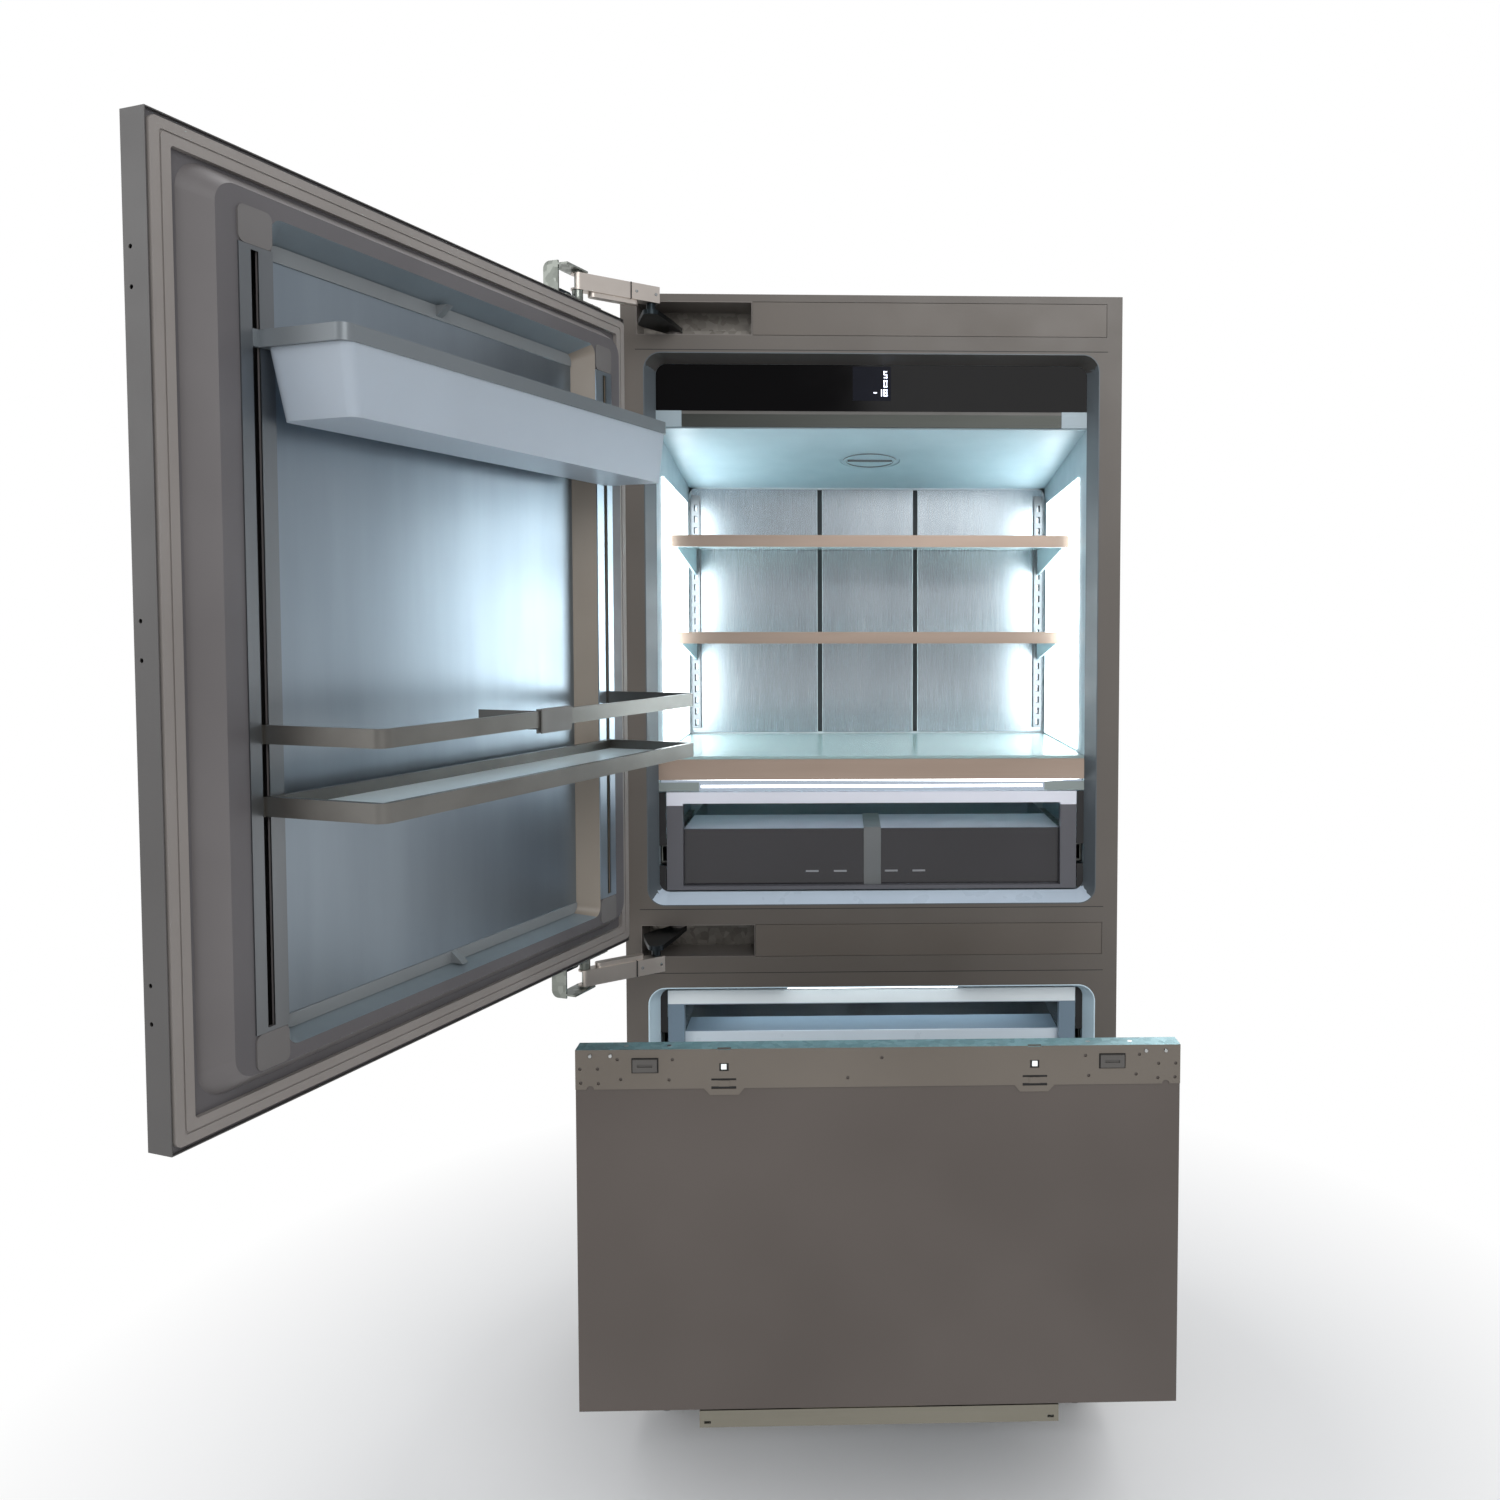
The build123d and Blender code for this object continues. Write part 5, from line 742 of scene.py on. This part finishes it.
def slot_shadows():
    """Dark plates of painted shadow behind the bracket's slots, and the pale catch in each square window,
    made to glow as painted light.
    """
    low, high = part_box("freezer_front_panel")
    face, top = low.y, high.z
    dark, pale = bmesh.new(), bmesh.new()
    sides = zip(both_sides(*WIDE_SLOT_X), both_sides(*ADJUSTER_X), both_sides(*CATCH_X))
    for slot, adjuster, catch in sides:
        for x, down in ((slot, WIDE_SLOT_DOWN), (adjuster, ADJUSTER_DOWN)):
            near_corner = (x[0], face - GROUND_PROUD, top - down[0])
            add_plate(dark, near_corner, (x[1], face + GROUND_SUNK, top - down[1]))
        near_corner = (catch[0], face - CATCH_PROUD, top - CATCH_DOWN[0])
        add_plate(pale, near_corner, (catch[1], face, top - CATCH_DOWN[1]))
    piece("bracket_slot_painted_shadow", "freezer_front", dark, SEAM_AND_SHADE)
    piece("bracket_catches", "freezer_front", pale, WHITE_DOT_PAINTED_GLOW)


def bracket_details():
    """Rivets of the freezer front's upper bracket, and its slots and end pieces drawn as dark plates of
    painted shade.
    """
    low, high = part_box("freezer_top_bracket")
    bm = bmesh.new()
    for x in TOP_RIVET_X:
        add_pin(bm, (x, TOP_RIVET_Y, high.z - TOP_RIVET_SUNK), *TOP_RIVET_SIZE, (0, 0, 1))
    for x in FACE_RIVET_X:
        add_pin(bm, (x, low.y - FACE_RIVET_PROUD, FACE_RIVET_Z), *FACE_RIVET_SIZE, (0, -1, 0))
    piece("bracket_rivets", "freezer_front", bm, SCREW)
    z = [high.z - down for down in TOP_SLOT_DOWN]
    bm = bmesh.new()
    for step in range(-TOP_SLOTS_EACH_SIDE, TOP_SLOTS_EACH_SIDE + 1):
        x = step * TOP_SLOT_STEP
        add_plate(bm, (x - TOP_SLOT_HALF, TOP_SLOT_Y[0], z[0]), (x + TOP_SLOT_HALF, TOP_SLOT_Y[1], z[1]))
    for x in both_sides(*END_SLOT_X):
        add_plate(bm, (x[0], END_SLOT_Y[0], z[0]), (x[1], END_SLOT_Y[1], z[1]))
    piece("bracket_slots_painted_shade", "freezer_front", bm, SEAM_AND_SHADE)


# Hinges and the door's edges

ARM_START = (-0.4917, -0.1715)
ARM_END = Vector((0.108, 0.078))
ARM_H = 0.0275
ARM_HALF = 0.012
ARM_BLOCK = 0.042
ARM_JOINT = (-0.0012, 0.0006)
ARM_JOINT_PROUD = (0.0002, 0.0003)
ARM_SCREW_X = 0.004
BLOCK_SCREW_X = 0.010
ARM_SCREW_SUNK = 0.0001
ARM_SCREW_SIZE = (0.0028, 0.0012)
BRACKET_T = 0.003
SPRING_COILS = 9
SPRING_START = 0.1175
SPRING_PITCH = 0.0033
SPRING_UP = 0.0088
SPRING_SIZE = (0.0083, 0.0022)
BRACKET_SCREWS = ((0.071, 0.009), (0.071, 0.026), (0.086, 0.009), (0.086, 0.026), (0.140, 0.027))
BRACKET_SCREW_UP = 0.0008
BRACKET_SCREW_SIZE = (0.0034, 0.0018)
EDGE_SCREW_S = (0.022, 0.048, 0.086, 0.124, 0.20, 0.26)
EDGE_SCREW_N = 0.024
EDGE_SCREW_SUNK = 0.0003
EDGE_SCREW_SIZE = (0.0032, 0.0006)


def arm_details():
    """Joint line and screws on each hinge arm."""
    low, high = (corner.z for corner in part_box("hinge_arms"))
    length = ARM_END.length
    joint = length - ARM_BLOCK
    along = Matrix.Rotation(math.atan2(ARM_END.y, ARM_END.x), 4, "Z")
    place = Matrix.Translation((ARM_START[0], ARM_START[1], 0.0)) @ along
    half = ARM_HALF + ARM_JOINT_PROUD[0]
    face = ARM_SCREW_SUNK - ARM_HALF
    dark, bright = bmesh.new(), bmesh.new()
    for z in ((high - ARM_H, high), (low, low + ARM_H)):
        near_corner = (joint + ARM_JOINT[0], -half, z[0] - ARM_JOINT_PROUD[1])
        far_corner = (joint + ARM_JOINT[1], half, z[1] + ARM_JOINT_PROUD[1])
        add_plate(dark, near_corner, far_corner, 0.0, place)
        for x in (length + ARM_SCREW_X, joint + BLOCK_SCREW_X):
            add_pin(bright, (x, face, sum(z) / 2), *ARM_SCREW_SIZE, (0, -1, 0), place)
    piece("hinge_arm_joints", "hinge_arms", dark, SEAM_AND_SHADE)
    piece("hinge_arm_screws", "hinge_arms", bright, SCREW)


def bracket_springs():
    """Spring and screws of each door bracket."""
    place = door_place()
    low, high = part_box("door_shell")
    coil, heads = bmesh.new(), bmesh.new()
    for foot, up in ((high.z, 1), (low.z, -1)):
        base = foot + up * BRACKET_T
        for turn in range(SPRING_COILS):
            at = (SPRING_START + turn * SPRING_PITCH, 0.0, base + up * SPRING_UP)
            add_pin(coil, at, *SPRING_SIZE, (1, 0, 0), place)
        for s, n in BRACKET_SCREWS:
            at = (s, n, base + up * BRACKET_SCREW_UP)
            add_pin(heads, at, *BRACKET_SCREW_SIZE, (0, 0, up), place)
    piece("hinge_springs", "door", coil, HINGE_DARK)
    piece("hinge_bracket_screws", "door", heads, SCREW)


def door_screws():
    """Screws along the upper and lower edges of the open door, by its brackets."""
    place = door_place()
    low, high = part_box("door_shell")
    bm = bmesh.new()
    for s in EDGE_SCREW_S:
        for edge, up in ((high.z, 1), (low.z, -1)):
            at = (s, EDGE_SCREW_N, edge - up * EDGE_SCREW_SUNK)
            add_pin(bm, at, *EDGE_SCREW_SIZE, (0, 0, up), place)
    piece("door_edge_screws", "door", bm, SCREW)


display()
frame_seams()
wall_grooves()
small_lamps()
lamp_line()
side_gaps()
slot_shadows()
arm_details()
bracket_springs()
pane_marks()
bracket_details()
door_screws()


# Floor, backdrop and light

FLOOR_RADIUS = 14.0
FLOOR_FADE = 1.7
FADE_END = 0.5
WORLD_TINT = (0.95, 0.97, 1.0, 1.0)
WORLD_STRENGTH = 0.55
SOFTBOXES = (
    ("key", (1.2, -4.2, 3.6), (0, 0, 1.1), (2.6, 2.6), 80.0),
    ("fill", (-3.4, -2.2, 2.6), (0, 0, 1.0), (2.6, 2.6), 35.0),
    ("top", (0.0, 0.6, 4.6), (0, 0, 1.0), (3.0, 3.0), 45.0),
    ("rear", (1.5, 4.2, 2.6), (0, 0.5, 1.0), (2.6, 2.6), 50.0),
)


def distance_fade(tree):
    """A value that is 0 around the object and grows to 1 away from it."""
    place = tree.nodes.new("ShaderNodeTexCoord")
    mapping = tree.nodes.new("ShaderNodeMapping")
    mapping.inputs["Scale"].default_value = (1 / FLOOR_FADE, 1 / FLOOR_FADE, 1.0)
    ball = tree.nodes.new("ShaderNodeTexGradient")
    ball.gradient_type = "SPHERICAL"
    fade = tree.nodes.new("ShaderNodeValToRGB")
    fade.color_ramp.elements[0].position = 0.0
    fade.color_ramp.elements[0].color = (1, 1, 1, 1)
    fade.color_ramp.elements[1].position = FADE_END
    fade.color_ramp.elements[1].color = (0, 0, 0, 1)
    tree.links.new(place.outputs["Object"], mapping.inputs["Vector"])
    tree.links.new(mapping.outputs["Vector"], ball.inputs["Vector"])
    tree.links.new(ball.outputs["Fac"], fade.inputs["Fac"])
    return fade.outputs["Color"]


def combined(tree, operation, first, second):
    """Two values put together by an operation of the math node."""
    both = tree.nodes.new("ShaderNodeMath")
    both.operation = operation
    tree.links.new(first, both.inputs[0])
    tree.links.new(second, both.inputs[1])
    return both.outputs["Value"]


def floor():
    """Pale studio floor that fades into a white surround, also in reflections and through glass."""
    bm = bmesh.new()
    bmesh.ops.create_circle(bm, cap_ends=True, radius=FLOOR_RADIUS, segments=64)
    mesh = bpy.data.meshes.new("floor")
    bm.to_mesh(mesh)
    bm.free()
    obj = bpy.data.objects.new("floor", mesh)
    bpy.context.scene.collection.objects.link(obj)
    mat = new_finish("floor_paint", (238, 238, 238), 0.7)
    tree = mat.node_tree
    path = tree.nodes.new("ShaderNodeLightPath").outputs
    mirrored = combined(tree, "MAXIMUM", path["Is Camera Ray"], path["Is Glossy Ray"])
    seen = combined(tree, "MAXIMUM", mirrored, path["Is Transmission Ray"])
    share = combined(tree, "MULTIPLY", distance_fade(tree), seen)
    white = tree.nodes.new("ShaderNodeEmission")
    white.inputs["Strength"].default_value = 1.0
    mix = tree.nodes.new("ShaderNodeMixShader")
    tree.links.new(share, mix.inputs["Fac"])
    tree.links.new(shader_of(mat).outputs["BSDF"], mix.inputs[1])
    tree.links.new(white.outputs["Emission"], mix.inputs[2])
    tree.links.new(mix.outputs["Shader"], tree.nodes["Material Output"].inputs["Surface"])
    obj.data.materials.append(mat)


def surround():
    """World light: soft grey on the object, white where the camera sees it."""
    world = bpy.data.worlds.new("surround")
    bpy.context.scene.world = world
    world.use_nodes = True
    tree = world.node_tree
    light = tree.nodes["Background"]
    light.inputs["Color"].default_value = WORLD_TINT
    light.inputs["Strength"].default_value = WORLD_STRENGTH
    white = tree.nodes.new("ShaderNodeBackground")
    white.inputs["Color"].default_value = (1, 1, 1, 1)
    path = tree.nodes.new("ShaderNodeLightPath")
    mix = tree.nodes.new("ShaderNodeMixShader")
    out = tree.nodes["World Output"]
    tree.links.new(path.outputs["Is Camera Ray"], mix.inputs["Fac"])
    tree.links.new(light.outputs["Background"], mix.inputs[1])
    tree.links.new(white.outputs["Background"], mix.inputs[2])
    tree.links.new(mix.outputs["Shader"], out.inputs["Surface"])


def softbox(name, place, aim, size, power):
    """Square area lamp turned towards a point."""
    data = bpy.data.lights.new(name, "AREA")
    data.shape = "RECTANGLE"
    data.size, data.size_y = size
    data.energy = power
    lamp = bpy.data.objects.new(name, data)
    lamp.location = place
    lamp.rotation_mode = "QUATERNION"
    lamp.rotation_quaternion = (Vector(aim) - Vector(place)).to_track_quat("-Z", "Y")
    bpy.context.scene.collection.objects.link(lamp)


floor()
surround()
for name, place, aim, size, power in SOFTBOXES:
    softbox(name, place, aim, size, power)
